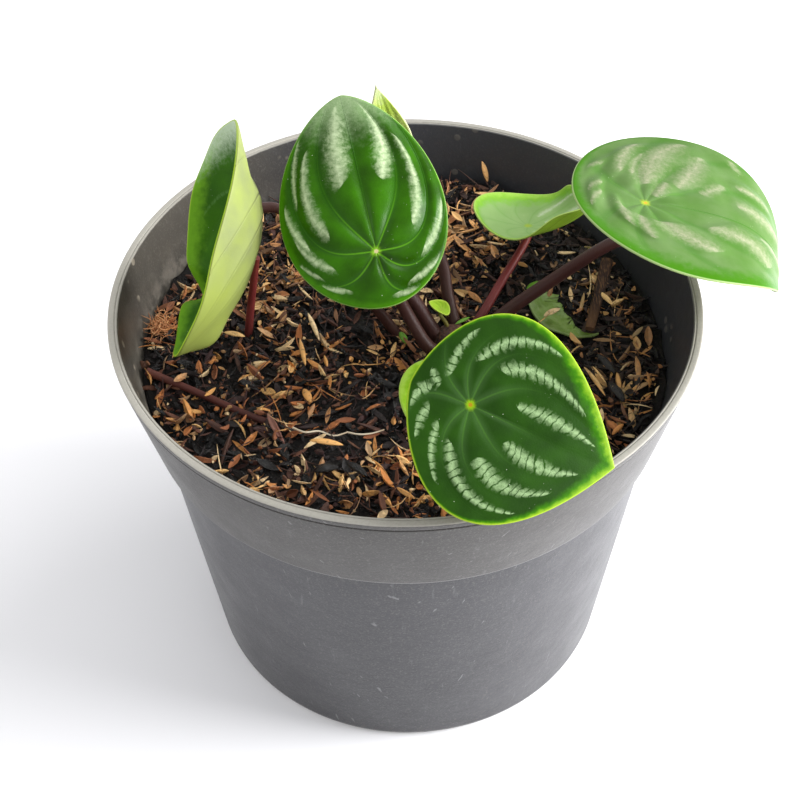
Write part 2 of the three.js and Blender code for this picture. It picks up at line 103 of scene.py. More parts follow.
def evaluated_mesh(thing):
    """The plain mesh that an object's modifiers make."""
    bpy.context.view_layer.update()
    seen = bpy.context.evaluated_depsgraph_get()
    return bpy.data.meshes.new_from_object(thing.evaluated_get(seen))


def add_field(mesh, name, values):
    """Stores one number for each point, for a material to read."""
    field = mesh.attributes.new(name, "FLOAT", "POINT")
    field.data.foreach_set("value", np.asarray(values, np.float32))


print("pieces ride on the body", BODY)

# %% [markdown]
# A photograph can only be compared with a render that looks from the same place. The camera
# stands in front of the pot and looks down at it by 46 degrees, with a lens half as long again
# as a normal one, which keeps the pot's sides nearly straight. The frame leans by one degree.

# %% Camera
CAMERA_ELEVATION = 46.479
CAMERA_ROLL = -0.941
CAMERA_DISTANCE = 543.85
CAMERA_TARGET = (-2.247, 0.0, 103.406)
LENS = 67.5
SENSOR_WIDTH = 36.0
NEAREST_SEEN = 0.01

elevation = math.radians(CAMERA_ELEVATION)
roll = math.radians(CAMERA_ROLL)
back = Vector((0, -math.cos(elevation), math.sin(elevation)))
level_right = Vector((1, 0, 0))
level_up = Vector((0, math.sin(elevation), math.cos(elevation)))
right = level_right * math.cos(roll) + level_up * math.sin(roll)
up = level_up * math.cos(roll) - level_right * math.sin(roll)

lens = bpy.data.cameras.new("camera")
lens.lens = LENS
lens.sensor_width = SENSOR_WIDTH
lens.clip_start = NEAREST_SEEN
camera = bpy.data.objects.new("camera", lens)
camera.rotation_mode = "QUATERNION"
camera.rotation_quaternion = Matrix((right, up, back)).transposed().to_quaternion()
camera.location = (Vector(CAMERA_TARGET) + back * CAMERA_DISTANCE) * MM
bpy.context.scene.collection.objects.link(camera)
bpy.context.scene.camera = camera
print("camera at", [round(value, 3) for value in camera.location])

# %% [markdown]
# The picture was taken on white card in a light tent: everything is bright, and one larger light
# comes from the right and a little behind, so that the only shadow is a soft grey one at the
# left. A pale world fills the shadows, and a big area light gives their direction. The white
# walls of the tent show as pale edges on both sides of the dark pot, so two more area lights
# stand for them. The plain view transform keeps white card white. Each light is listed with the
# way to it, its distance and width in metres, and its power in watts.

# %% Light and floor
WORLD_LIGHT = 0.86
LIT_HEIGHT = 0.1
LIGHTS = [
    ("key", (0.62, 0.35, 1.0), 1.15, 0.6, 5.0),
    ("right_side", (1.0, -0.12, 0.3), 0.95, 0.6, 20.0),
    ("left_side", (-1.0, -0.2, 0.3), 0.95, 0.6, 1.5),
]

bpy.context.scene.view_settings.view_transform = "Standard"
world = bpy.data.worlds.new("studio")
world.use_nodes = True
sky = world.node_tree.nodes["Background"]
sky.inputs["Color"].default_value = (1.0, 1.0, 1.0, 1)
sky.inputs["Strength"].default_value = WORLD_LIGHT
bpy.context.scene.world = world


def soft_light(name, way, distance, size, power):
    """A round soft light that shines from that way at the middle of the pot."""
    light = bpy.data.lights.new(name, "AREA")
    light.shape = "DISK"
    light.size = size
    light.energy = power
    lamp = bpy.data.objects.new(name, light)
    towards = Vector(way).normalized()
    lamp.location = towards * distance + Vector((0, 0, LIT_HEIGHT))
    lamp.rotation_mode = "QUATERNION"
    lamp.rotation_quaternion = towards.to_track_quat("Z", "Y")
    bpy.context.scene.collection.objects.link(lamp)
    print(name, power, "W at", [round(value, 2) for value in lamp.location])


for lamp in LIGHTS:
    soft_light(*lamp)

# %% [markdown]
# A material is a sum of simple patterns, and a Geometry Nodes tree does sums too. So that both
# read like sums, a small class wraps a socket: Python's own plus, minus, times and power then
# add the Math nodes. Every other node comes from one method, which takes the node's type, its
# settings and what goes into its sockets.

# %% Shader maths
class Wire:
    """The output of a node, which takes part in Python sums."""

    def __init__(self, maker, socket):
        self.maker = maker
        self.socket = socket

    def joined(self, operation, first, second):
        return self.maker.node("ShaderNodeMath", {"operation": operation}, {0: first, 1: second})

    def __add__(self, other):
        return self.joined("ADD", self, other)

    def __sub__(self, other):
        return self.joined("SUBTRACT", self, other)

    def __rsub__(self, other):
        return self.joined("SUBTRACT", other, self)

    def __mul__(self, other):
        return self.joined("MULTIPLY", self, other)

    def __pow__(self, other):
        return self.joined("POWER", self, other)

    __radd__ = __add__
    __rmul__ = __mul__


class NodeMaker:
    """A tree of nodes, and the one method that adds a node to it."""

    def __init__(self, tree):
        self.tree = tree

    def plug(self, socket, value):
        if isinstance(value, Wire):
            self.tree.links.new(value.socket, socket)
        elif isinstance(value, tuple) and len(value) == 3 and socket.type == "RGBA":
            socket.default_value = (*value, 1)
        else:
            socket.default_value = value

    def node(self, kind, settings=None, inputs=None, output=0):
        """A new node. A list of values goes into one socket that takes several links."""
        made = self.tree.nodes.new(kind)
        for name, value in (settings or {}).items():
            setattr(made, name, value)
        for name, value in (inputs or {}).items():
            known = {socket.identifier: socket for socket in made.inputs}
            socket = known[name] if name in known else made.inputs[name]
            for each in value if isinstance(value, list) else [value]:
                self.plug(socket, each)
        return Wire(self, made.outputs[output])


print("sums on sockets ready")

# %% [markdown]
# All finishes are built from the same few patterns: soft noise, small round dots, a step that
# turns either into a mark with an edge, and a mix that lays a colour over the marks. They are
# methods of one class, and they take their sizes in millimetres, because they read the object's
# own coordinates and multiply them by a thousand. A colour is written as a screen shows it and
# turned into the linear one that a shader needs.

# %% Finishes
class Finish(NodeMaker):
    """A material that is built from expressions."""

    def __init__(self, name):
        self.material = bpy.data.materials.new(name)
        self.material.use_nodes = True
        super().__init__(self.material.node_tree)
        self.shader = self.tree.nodes["Principled BSDF"]
        spot = self.node("ShaderNodeTexCoord", output="Object")
        scaled = {"Vector": spot, "Scale": 1 / MM}
        self.place = self.node("ShaderNodeVectorMath", {"operation": "SCALE"}, scaled)

    def field(self, name):
        return self.node("ShaderNodeAttribute", {"attribute_name": name}, output="Fac")

    def axis(self, name):
        return self.node("ShaderNodeSeparateXYZ", inputs={"Vector": self.place}, output=name)

    def noise(self, size, detail, rough=0.5, stretch=(1, 1, 1)):
        """Soft clouds about 0.5, of that width in millimetres, with so many finer layers."""
        place = self.place
        if stretch != (1, 1, 1):
            longer = {"Vector": place, "Scale": stretch}
            place = self.node("ShaderNodeMapping", {"vector_type": "TEXTURE"}, longer)
        inputs = {"Vector": place, "Scale": 1 / size, "Detail": detail, "Roughness": rough}
        return self.node("ShaderNodeTexNoise", inputs=inputs, output="Fac")

    def dots(self, size, radius):
        """Small round dots, one to a cell of that size. Each is 1 over its inner six tenths."""
        inputs = {"Vector": self.place, "Scale": 1 / size}
        away = self.node("ShaderNodeTexVoronoi", inputs=inputs, output="Distance")
        return self.step(away, radius / size, radius / size * 0.6)

    def step(self, value, low, high):
        """Goes smoothly from 0 at low to 1 at high."""
        turned = low > high
        inputs = {"Value": value, "From Min": min(low, high), "From Max": max(low, high)}
        inputs.update({"To Min": 1.0 if turned else 0.0, "To Max": 0.0 if turned else 1.0})
        return self.node("ShaderNodeMapRange", {"interpolation_type": "SMOOTHSTEP"}, inputs)

    def mix(self, share, first, second):
        inputs = {"Factor_Float": share, "A_Color": first, "B_Color": second}
        return self.node("ShaderNodeMix", {"data_type": "RGBA"}, inputs, output=2)

    def bump(self, height, depth):
        """Relief of that depth in millimetres."""
        inputs = {"Height": height, "Distance": depth * MM, "Strength": 1.0}
        return self.node("ShaderNodeBump", inputs=inputs)

    def surface(self, **values):
        for name, value in values.items():
            self.plug(self.shader.inputs[name.replace("_", " ")], value)
        return self.material


def srgb(red, green, blue):
    """A screen colour of 0 to 255 as the linear colour that a shader takes."""
    def linear(value):
        share = value / 255
        return share / 12.92 if share < 0.04045 else ((share + 0.055) / 1.055) ** 2.4
    return (linear(red), linear(green), linear(blue))


print("a grey of 128 on the screen is", round(srgb(128, 128, 128)[0], 3), "in a shader")

# %% [markdown]
# The card that the pot stands on has no edge in the photograph. A square twelve metres wide has
# none in the picture either. It is not attached to the body, so it isn't part of the object.

# %% White card
def card():
    finish = Finish("white_card")
    return finish.surface(Base_Color=srgb(247, 247, 250), Roughness=0.9)


FLOOR_HALF = 6000.0
corners = [(-FLOOR_HALF, -FLOOR_HALF, 0), (FLOOR_HALF, -FLOOR_HALF, 0)]
corners += [(FLOOR_HALF, FLOOR_HALF, 0), (-FLOOR_HALF, FLOOR_HALF, 0)]
floor = bpy.data.objects.new("floor", mesh_of("floor", corners, [(0, 1, 2, 3)]))
floor.data.materials.append(card())
bpy.context.scene.collection.objects.link(floor)
print("floor", 2 * FLOOR_HALF * MM, "m wide")

# %% [markdown]
# The pot is a blow-moulded nursery pot: a body that narrows to the foot, and a wide band at the
# top with a fine groove under the lip. A shape that is the same all round is a lathe turning, so
# a profile is all it needs. First come its sizes, and the radius of the outer and the inner wall
# at any height, because the soil and the litter have to stay within them too.

# %% Pot sizes
POT_HEIGHT = 155.0
RIM_RADIUS = 100.0
RIM_LAND = 3.4
BAND_HEIGHT = 40.0
BAND_FOOT_RADIUS = 91.4
BODY_TOP_RADIUS = 88.2
BODY_FOOT_RADIUS = 76.5
WALL = 2.4
POT_FLOOR = 2.6
INNER_SLOPE = 0.22
INNER_STEP = 8.0
POT_SIDES = 180
BAND_FOOT = POT_HEIGHT - BAND_HEIGHT
STEP_FOOT = BAND_FOOT - INNER_STEP


def outer_radius(z):
    if z >= BAND_FOOT:
        return BAND_FOOT_RADIUS + (RIM_RADIUS - BAND_FOOT_RADIUS) * (z - BAND_FOOT) / BAND_HEIGHT
    return BODY_FOOT_RADIUS + (BODY_TOP_RADIUS - BODY_FOOT_RADIUS) * z / BAND_FOOT


def inner_radius(z):
    def in_band(height):
        return RIM_RADIUS - RIM_LAND - (POT_HEIGHT - height) * INNER_SLOPE
    if z >= BAND_FOOT:
        return in_band(z)
    if z < STEP_FOOT:
        return outer_radius(z) - WALL
    share = (BAND_FOOT - z) / INNER_STEP
    return in_band(BAND_FOOT) * (1 - share) + (outer_radius(STEP_FOOT) - WALL) * share


print("inner radius at the top of the body:", round(inner_radius(STEP_FOOT), 2), "mm")

# %% [markdown]
# A turned shape needs two helpers. One replaces each sharp corner of a profile with a small arc,
# as a mould leaves it, and the other turns the profile round the axis and closes it with a fan of
# triangles at each end.

# %% Turning helpers
ARC_STEPS = 4


def softened(corners):
    """A profile whose corners become arcs. Each corner is (radius, height, rounding)."""
    points = []
    for i, (r, z, rounding) in enumerate(corners):
        corner = np.array([r, z])
        if rounding == 0:
            points.append(corner)
            continue
        before, after = np.array(corners[i - 1][:2]), np.array(corners[i + 1][:2])
        start = corner + (before - corner) / np.linalg.norm(before - corner) * rounding
        end = corner + (after - corner) / np.linalg.norm(after - corner) * rounding
        for share in np.linspace(0, 1, ARC_STEPS + 1):
            points.append((1 - share) ** 2 * start + 2 * share * (1 - share) * corner + share**2 * end)
    return np.array(points)


def turned(profile, sides):
    """Points and faces of a profile that is turned round the Z axis, with both ends on the axis."""
    ring = profile[1:-1]
    turns = np.arange(sides) * 2 * math.pi / sides
    points = [(0, 0, profile[0][1])]
    points += [(r * math.cos(a), r * math.sin(a), z) for r, z in ring for a in turns]
    points.append((0, 0, profile[-1][1]))
    last = len(points) - 1
    faces = []
    for side in range(sides):
        after = (side + 1) % sides
        faces.append((0, 1 + after, 1 + side))
        for row in range(len(ring) - 1):
            low, high = 1 + row * sides, 1 + (row + 1) * sides
            faces.append((low + side, low + after, high + after, high + side))
        top = 1 + (len(ring) - 1) * sides
        faces.append((top + side, top + after, last))
    return points, faces


print("corners become", ARC_STEPS, "short edges each")

# %% [markdown]
# The profile is listed once, with the radius, height and rounding of each corner. It runs from
# the axis under the floor, out and up the outside, over the rim and down the inside to the axis.
# The foot stands on a narrow ring, the lip has a fine groove under it and a raised edge on top,
# and the wall steps inwards where the band ends.

# %% Pot outline
LIP_GROOVE_TOP = POT_HEIGHT - 2.6
LIP_GROOVE_FOOT = LIP_GROOVE_TOP - 0.9
LIP_GROOVE_DEPTH = 0.6
WALL_FOOT = POT_FLOOR + 5
FLOOR_RADIUS = inner_radius(POT_FLOOR) - 4
OUTSIDE = [
    (0, 0, 0), (BODY_FOOT_RADIUS - 9, 0, 0),
    (BODY_FOOT_RADIUS - 5.2, 0.5, 0.4), (BODY_FOOT_RADIUS, 0, 4),
    (BODY_TOP_RADIUS, BAND_FOOT - 3.2, 0.8), (BODY_TOP_RADIUS + 0.5, BAND_FOOT - 0.8, 0.4),
    (BAND_FOOT_RADIUS - 0.2, BAND_FOOT, 0.9), (outer_radius(LIP_GROOVE_FOOT), LIP_GROOVE_FOOT, 0.2),
    (outer_radius(LIP_GROOVE_TOP) - LIP_GROOVE_DEPTH, (LIP_GROOVE_FOOT + LIP_GROOVE_TOP) / 2, 0.25),
    (outer_radius(LIP_GROOVE_TOP), LIP_GROOVE_TOP, 0.2), (RIM_RADIUS, POT_HEIGHT, 0.8),
]
INSIDE = [
    (RIM_RADIUS - 2.2, POT_HEIGHT, 0.2), (RIM_RADIUS - 2.45, POT_HEIGHT - 0.45, 0.2),
    (RIM_RADIUS - 2.7, POT_HEIGHT - 0.1, 0.2), (RIM_RADIUS - RIM_LAND, POT_HEIGHT - 0.2, 0.5),
    (inner_radius(BAND_FOOT), BAND_FOOT, 2), (inner_radius(STEP_FOOT), STEP_FOOT, 2),
    (inner_radius(WALL_FOOT), WALL_FOOT, 2), (FLOOR_RADIUS, POT_FLOOR, 1), (0, POT_FLOOR, 0),
]
pot_profile = softened(OUTSIDE + INSIDE)
print("pot profile:", len(pot_profile), "points")

# %% [markdown]
# The plastic is dark grey, dull and full of small marks: scuffs that run up and down, pale dust,
# a few black specks and dried mud round the foot. The inner wall has lime and a dried film at
# the left, where the water dried, and round scale in patches, and its right and back are
# darkened as painted shade. The lip is worn pale, and painted shade makes it a little darker
# towards the right. A thin pale line along the foot of the band is a painted highlight, and the
# body gets darker downwards and to the left as painted shade. Each mark is a pattern of its own
# that moves the colour a little, and some also raise the surface or make it duller. A field on
# the mesh tells the inside of the wall from the outside.

# %% Pot finish
def pot_plastic():
    finish = Finish("pot_plastic")
    inside = finish.field("inside")
    height = finish.axis("Z")
    clouds = finish.noise(34, 3, 0.55)
    scuffs = finish.step(finish.noise(2.2, 4, 0.62, stretch=(1, 1, 7)), 0.6, 0.82)
    scratches = finish.step(finish.noise(0.55, 2, 0.5, stretch=(9, 1, 22)), 0.71, 0.76)
    dust = finish.noise(0.8, 3, 0.7)
    body = finish.mix(clouds, srgb(49, 49, 53), srgb(62, 62, 66))
    upper = finish.mix(clouds, srgb(49, 47, 46), srgb(62, 60, 58))
    colour = finish.mix(finish.step(height, BAND_FOOT - 0.6, BAND_FOOT + 0.2), body, upper)
    # painted shade: the outside of the body is darker towards the foot, and most of all at the left, away
    # from the lights
    low = finish.step(height, 105, 10) * (1 - inside)
    painted_shade_low_left = low * (finish.step(finish.axis("X"), 40, -50) * 0.45 + 0.45)
    colour = finish.mix(painted_shade_low_left, colour, srgb(31, 31, 36))
    # painted highlight: a thin pale line along the foot of the band, where its step catches the light
    above_seam = finish.step(height, BAND_FOOT - 0.1, BAND_FOOT + 0.4)
    below_seam = finish.step(height, BAND_FOOT + 1.2, BAND_FOOT + 0.7)
    painted_seam_highlight = above_seam * below_seam
    colour = finish.mix(painted_seam_highlight * 0.4 * (1 - inside), colour, srgb(150, 150, 150))
    land = finish.step(height + finish.noise(3, 3) * 0.3, POT_HEIGHT - 0.45, POT_HEIGHT - 0.05)
    # the lip is worn pale, and painted shade makes it darker towards the right, to offset the strong right
    # light there
    worn_lip_and_painted_shade = finish.mix(finish.step(finish.axis("X"), -95, 10), srgb(190, 186, 176), srgb(172, 169, 160))
    colour = finish.mix(land * (dust * 0.4 + 0.6), colour, worn_lip_and_painted_shade)
    colour = finish.mix(scuffs * 0.35, colour, srgb(140, 140, 142))
    colour = finish.mix(scratches * 0.3 * (1 - inside), colour, srgb(168, 168, 170))
    colour = finish.mix(finish.step(dust, 0.5, 0.72) * 0.2, colour, srgb(150, 146, 140))
    lime_side = finish.step(finish.axis("X"), -30, -80) * finish.step(height, 146, 130)
    film = inside * finish.step(finish.axis("X"), -20, -80) * (finish.noise(14, 3) * 0.5 + 0.3)
    colour = finish.mix(film * 0.45, colour, srgb(126, 120, 108))
    lime = inside * lime_side * finish.step(finish.noise(9, 4, 0.7), 0.42, 0.62)
    colour = finish.mix(lime * 0.5, colour, srgb(150, 142, 130))
    scale = inside * finish.dots(7.5, 1.6) * finish.step(finish.noise(22, 2), 0.48, 0.58)
    colour = finish.mix(scale * 0.75, colour, srgb(176, 166, 150))
    # painted shade: the right and back of the inner wall are darkened, where the wall hides them from the
    # lights
    shade = inside * finish.step(finish.axis("X") + finish.axis("Y") * 0.4, -45, 20)
    colour = finish.mix(shade * 0.75, colour, srgb(58, 60, 66))
    foot = finish.step(height + finish.noise(6, 3) * 3, 4.2, 2.2) * (1 - inside)
    colour = finish.mix(foot * 0.5, colour, srgb(164, 160, 152))
    specks = finish.dots(19, 0.42) * finish.step(finish.noise(31, 2), 0.5, 0.56)
    colour = finish.mix(specks, colour, srgb(26, 24, 22))
    relief = finish.noise(0.5, 3, 0.6) * 0.4 + finish.noise(4, 3) + scratches * 0.3 + scale * 0.6
    rough = 0.26 + finish.noise(12, 3) * 0.16 + scuffs * 0.1 + lime * 0.3 + foot * 0.2 + land * 0.3
    normal = finish.bump(relief, 0.12)
    return finish.surface(Base_Color=colour, Roughness=rough, Normal=normal, Specular_IOR_Level=0.34)


plastic = pot_plastic()
print("pot finish:", len(plastic.node_tree.nodes), "nodes")

# %% [markdown]
# The eight drain holes are cut through the floor with a Boolean, as a drill would make them, and
# the plain solid of the pot is hidden behind the finer piece.

# %% Pot
DRAINS = 8
DRAIN_RING = 55.0
DRAIN_RADIUS = 5.0
DRILL_OVERLAP = 2
DRILL_SIDES = 24
POT_SHARP_ABOVE = 38


def drill_mesh():
    """Eight short cylinders that stand through the floor."""
    low, high = -DRILL_OVERLAP, POT_FLOOR + DRILL_OVERLAP
    bore = np.array([(0, low), (DRAIN_RADIUS, low), (DRAIN_RADIUS, high), (0, high)])
    bored, sides = turned(bore, DRILL_SIDES)
    points, faces = [], []
    for i in range(DRAINS):
        turn = 2 * math.pi * i / DRAINS
        shift = np.array([DRAIN_RING * math.cos(turn), DRAIN_RING * math.sin(turn), 0])
        faces += [tuple(corner + len(points) for corner in face) for face in sides]
        points += [tuple(np.array(point) + shift) for point in bored]
    return mesh_of("drill", points, faces)


def pot_mesh():
    shell = bpy.data.objects.new("shell", mesh_of("pot", *turned(pot_profile, POT_SIDES)))
    drill = bpy.data.objects.new("drill", drill_mesh())
    for thing in (shell, drill):
        bpy.context.scene.collection.objects.link(thing)
    cut = shell.modifiers.new("drains", "BOOLEAN")
    cut.operation = "DIFFERENCE"
    cut.object = drill
    mesh = evaluated_mesh(shell)
    for thing in (shell, drill):
        bpy.data.objects.remove(thing)
    shade_smooth(mesh, POT_SHARP_ABOVE)
    spots = np.array([vertex.co for vertex in mesh.vertices]) / MM
    away = np.hypot(spots[:, 0], spots[:, 1])
    middle = np.array([(outer_radius(z) + inner_radius(z)) / 2 for z in spots[:, 2]])
    above_floor = spots[:, 2] > POT_FLOOR - 0.1
    within_land = away < RIM_RADIUS - RIM_LAND + 0.3
    inside = (away < middle) & above_floor & within_land
    add_field(mesh, "inside", inside.astype(float))
    return mesh


pot = add_piece("nursery_pot", pot_mesh(), [plastic], ["pot"])
print("pot:", len(pot.data.polygons), "faces")

# %% [markdown]
# The soil is not flat: it stands a little higher at the back left, and it sinks and swells. The
# same formula as in the solids gives its height, and a low heap at the back is added to it, which
# the solids leave out. The litter and the torn leaf find the ground with it. The soil is near
# black and crumbly, and it is mostly seen in the gaps between husks.

# %% Soil
SOIL_LEVEL = 129.5
SOIL_RISE = 2.5
BACK_HEAP = 3.5
HEAP_SPOT = (25, 88)
HEAP_SPREAD = 900
GAP = 0.3
CRUMB_HEIGHT = 0.65
CRUMB_SEED = 5
SOIL_RINGS = 70
SOIL_SIDES = 160


def ground(x, y):
    """Height of the soil at a point, in millimetres."""
    slope = np.clip((y - x) / 150, -0.6, 1)
    swells = 0.8 * np.sin(x / 17 + 1) * np.cos(y / 21) + 0.6 * np.sin((x + 2 * y) / 23)
    from_heap = (x - HEAP_SPOT[0]) ** 2 + (y - HEAP_SPOT[1]) ** 2
    return SOIL_LEVEL + SOIL_RISE * slope + swells + BACK_HEAP * np.exp(-from_heap / HEAP_SPREAD)


def soil_mesh():
    radius = inner_radius(SOIL_LEVEL)
    top = [(radius * ring / SOIL_RINGS, SOIL_LEVEL) for ring in range(SOIL_RINGS, -1, -1)]
    wall = [(inner_radius(z) - GAP, z) for z in (WALL_FOOT, 60, STEP_FOOT, BAND_FOOT)]
    foot = [(0, POT_FLOOR + GAP), (FLOOR_RADIUS - GAP, POT_FLOOR + GAP)]
    points, faces = turned([*foot, *wall, *top], SOIL_SIDES)
    points = np.array(points, float)
    crumbs = np.random.default_rng(CRUMB_SEED).normal(0, CRUMB_HEIGHT, len(points))
    for i, (x, y, z) in enumerate(points):
        if z < SOIL_LEVEL - 0.01:
            continue
        height = ground(x, y) + crumbs[i]
        limit = inner_radius(height) - GAP
        reach = min(1, limit / max(math.hypot(x, y), 1e-6))
        points[i] = (x * reach, y * reach, height)
    return mesh_of("soil", points, faces)


def damp_soil():
    finish = Finish("damp_soil")
    crumbs = finish.noise(1.1, 4, 0.7)
    lumps = finish.noise(5, 3)
    colour = finish.mix(finish.step(crumbs, 0.45, 0.75), srgb(15, 13, 12), srgb(46, 34, 27))
    colour = finish.mix(finish.step(lumps, 0.55, 0.8) * 0.4, colour, srgb(64, 44, 32))
    relief = finish.bump(crumbs + lumps, 1.6)
    return finish.surface(Base_Color=colour, Roughness=0.85, Normal=relief)


add_piece("soil_bed", soil_mesh(), [damp_soil()], ["soil"])
print("soil surface from", round(ground(70, -60), 1), "to", round(ground(-60, 70), 1), "mm")

# %% [markdown]
# Husks, charred husks and bark chips cover the soil, some thousands of them. They are the same
# few shapes over and over, so Geometry Nodes scatter them. First comes the class for such trees.
# It makes a tree with named inputs, draws random numbers with a fixed seed, and ends the tree by
# making real mesh of the copies. A function then runs a tree on a mesh: each input of the
# modifier is set by its socket's identifier, because that is its name inside Blender.

# %% Geometry Nodes helpers
class Tree(NodeMaker):
    """A Geometry Nodes tree with named inputs."""

    def __init__(self, name, inputs):
        super().__init__(bpy.data.node_groups.new(name, "GeometryNodeTree"))
        face = self.tree.interface
        face.new_socket(name="Geometry", in_out="INPUT", socket_type="NodeSocketGeometry")
        for label, (kind, value) in inputs.items():
            socket = face.new_socket(name=label, in_out="INPUT", socket_type=kind)
            if value is not None:
                socket.default_value = value
        face.new_socket(name="Geometry", in_out="OUTPUT", socket_type="NodeSocketGeometry")
        self.start = self.tree.nodes.new("NodeGroupInput")
        self.end = self.tree.nodes.new("NodeGroupOutput")

    def given(self, label):
        return Wire(self, self.start.outputs[label])

    def chance(self, low, high, seed, kind="FLOAT"):
        """A random number or vector between two others."""
        ends = {"FLOAT": ("Min_001", "Max_001"), "FLOAT_VECTOR": ("Min", "Max")}[kind]
        output = {"FLOAT": 1, "FLOAT_VECTOR": 0}[kind]
        inputs = {ends[0]: low, ends[1]: high, "Seed": seed}
        return self.node("FunctionNodeRandomValue", {"data_type": kind}, inputs, output)

    def vector(self, x=0.0, y=0.0, z=0.0):
        return self.node("ShaderNodeCombineXYZ", inputs={0: x, 1: y, 2: z})

    def finished(self, geometry, material):
        """Ends the tree: instances become mesh, and the mesh gets its material."""
        real = self.node("GeometryNodeRealizeInstances", inputs={"Geometry": geometry})
        dressing = {"Geometry": real, "Material": material}
        dressed = self.node("GeometryNodeSetMaterial", inputs=dressing)
        self.plug(self.end.inputs["Geometry"], dressed)
        return self.tree


def grown(name, mesh, group, values):
    """Runs a tree on a mesh and returns the plain mesh that it makes."""
    bed = bpy.data.objects.new(name, mesh)
    bpy.context.scene.collection.objects.link(bed)
    modifier = bed.modifiers.new("grow", "NODES")
    modifier.node_group = group
    for item in group.interface.items_tree:
        if item.item_type == "SOCKET" and item.in_out == "INPUT" and item.name in values:
            modifier[item.identifier] = values[item.name]
    made = evaluated_mesh(bed)
    bed.modifiers.clear()
    bpy.data.objects.remove(bed)
    made.name = name
    return made


print("helpers for trees ready")

# %% [markdown]
# The litter tree takes the bare ground as its mesh. It spreads points on it, stands each a little
# above or below the ground, turns and tilts it by chance, and puts one of a few shapes there. The
# shapes are spindles of a few dozen faces, bent like a boat, because a husk is half a shell. They
# are made from a small ball: its points are moved by sums on their own coordinates.

# %% Spindle
SPINDLE_TAPER = 0.55


def spindle(tree, length, width, depth, bend, cup):
    """A closed pointed husk along X, in metres, bent along its length and cupped across it."""
    ball = tree.node("GeometryNodeMeshUVSphere", inputs={"Segments": 6, "Rings": 6, "Radius": 1.0})
    lying = {"Geometry": ball, "Rotation": (0, math.pi / 2, 0)}
    ball = tree.node("GeometryNodeTransform", inputs=lying)
    spot = {0: tree.node("GeometryNodeInputPosition")}
    x, y, z = (tree.node("ShaderNodeSeparateXYZ", inputs=spot, output=axis) for axis in range(3))
    x_square = x * x
    wide = y * (width / 2) * (1 - x_square * SPINDLE_TAPER)
    lifted = z * (depth / 2) + (x_square * bend + y * y * cup)
    moved = tree.vector(x * (length / 2), wide, lifted)
    return tree.node("GeometryNodeSetPosition", inputs={"Geometry": ball, "Position": moved})


print("a spindle narrows towards its ends by a factor of", round(1 - SPINDLE_TAPER, 2))

# %% [markdown]
# The tree itself has an input for everything that differs from one kind of litter to the next.
# Two random numbers go with each chip, so that the material can give each its own colour.

# %% Litter tree
LARGEST = 1.1


def litter_tree(name, shapes):
    """Scatters spindles of the given sizes in millimetres over a mesh."""
    tree = Tree(name, {
        "Per square metre": ("NodeSocketFloat", 1000.0),
        "Lowest": ("NodeSocketFloat", 0.0),
        "Highest": ("NodeSocketFloat", 0.001),
        "Tilt": ("NodeSocketFloat", 0.3),
        "Smallest": ("NodeSocketFloat", 0.7),
        "Seed": ("NodeSocketInt", 0),
        "Material": ("NodeSocketMaterial", None),
    })
    seed = tree.given("Seed")
    room = tree.node("GeometryNodeInputNamedAttribute", inputs={"Name": "room"})
    density = room * tree.given("Per square metre")
    spread = {"Mesh": tree.given("Geometry"), "Density": density, "Seed": seed}
    points = tree.node("GeometryNodeDistributePointsOnFaces", inputs=spread)
    height = tree.chance(tree.given("Lowest"), tree.given("Highest"), seed + 1)
    shifted = {"Geometry": points, "Offset": tree.vector(z=height)}
    points = tree.node("GeometryNodeSetPosition", inputs=shifted)
    made = [spindle(tree, *[size * MM for size in shape]) for shape in shapes]
    choice = tree.node("GeometryNodeGeometryToInstance", inputs={"Geometry": made})
    lean = tree.given("Tilt")
    low = tree.vector(lean * -2, lean * -1)
    high = tree.vector(lean * 2, lean, 2 * math.pi)
    placed = {
        "Points": points, "Instance": choice, "Pick Instance": True,
        "Rotation": tree.chance(low, high, seed + 2, "FLOAT_VECTOR"),
        "Scale": tree.chance(tree.given("Smallest"), LARGEST, seed + 3),
    }
    chips = tree.node("GeometryNodeInstanceOnPoints", inputs=placed)
    for label, step in (("tint", 4), ("shade", 5)):
        stored = {"Geometry": chips, "Name": label, "Value": tree.chance(0.0, 1.0, seed + step)}
        chips = tree.node("GeometryNodeStoreNamedAttribute", {"domain": "INSTANCE"}, stored)
    return tree.finished(chips, tree.given("Material"))


print("the largest chips are", LARGEST, "times their listed size")

# %% [markdown]
# There are five trees, one for each family of shapes: husks, chips of bark, fibres, coir and
# crumbs. A shape is listed as its length, width, depth, bend and cup in millimetres.

# %% Litter shapes
HUSKS = [
    (8.6, 3.2, 0.8, 1.0, 1.1), (7.8, 2.6, 0.7, -0.9, -1.0), (6.0, 3.2, 0.7, 0.6, 1.3),
    (9.4, 1.8, 0.7, 0.7, 0.4), (8.2, 2.8, 0.6, 1.6, 1.4), (7.2, 1.4, 0.6, -0.7, 0.3),
    (4.4, 2.6, 0.7, 0.4, -0.8),
]
CHIPS = [
    (11, 2.6, 1.4, 0.3, 0.2), (7, 3.4, 1.6, 0.2, 0.5), (15, 1.9, 1.2, -0.6, 0.2),
    (5, 3.2, 2.0, 0.2, -0.3),
]
CRUMBS = [
    (2.6, 1.5, 1.1, 0.2, 0.2), (3.4, 1.1, 0.7, 0.4, 0.3), (1.7, 1.4, 1.2, 0, 0.2),
    (2.2, 1.9, 0.7, -0.2, 0.3),
]
COIR = [(7, 0.5, 0.4, 2.2, 0), (5, 0.45, 0.4, -1.6, 0), (8, 0.4, 0.4, 3.0, 0)]
FIBRES = [
    (13, 0.55, 0.4, 1.6, 0), (9, 0.5, 0.4, -0.8, 0), (6, 0.8, 0.4, 0.5, 0.2), (18, 0.5, 0.4, 2.4, 0),
]
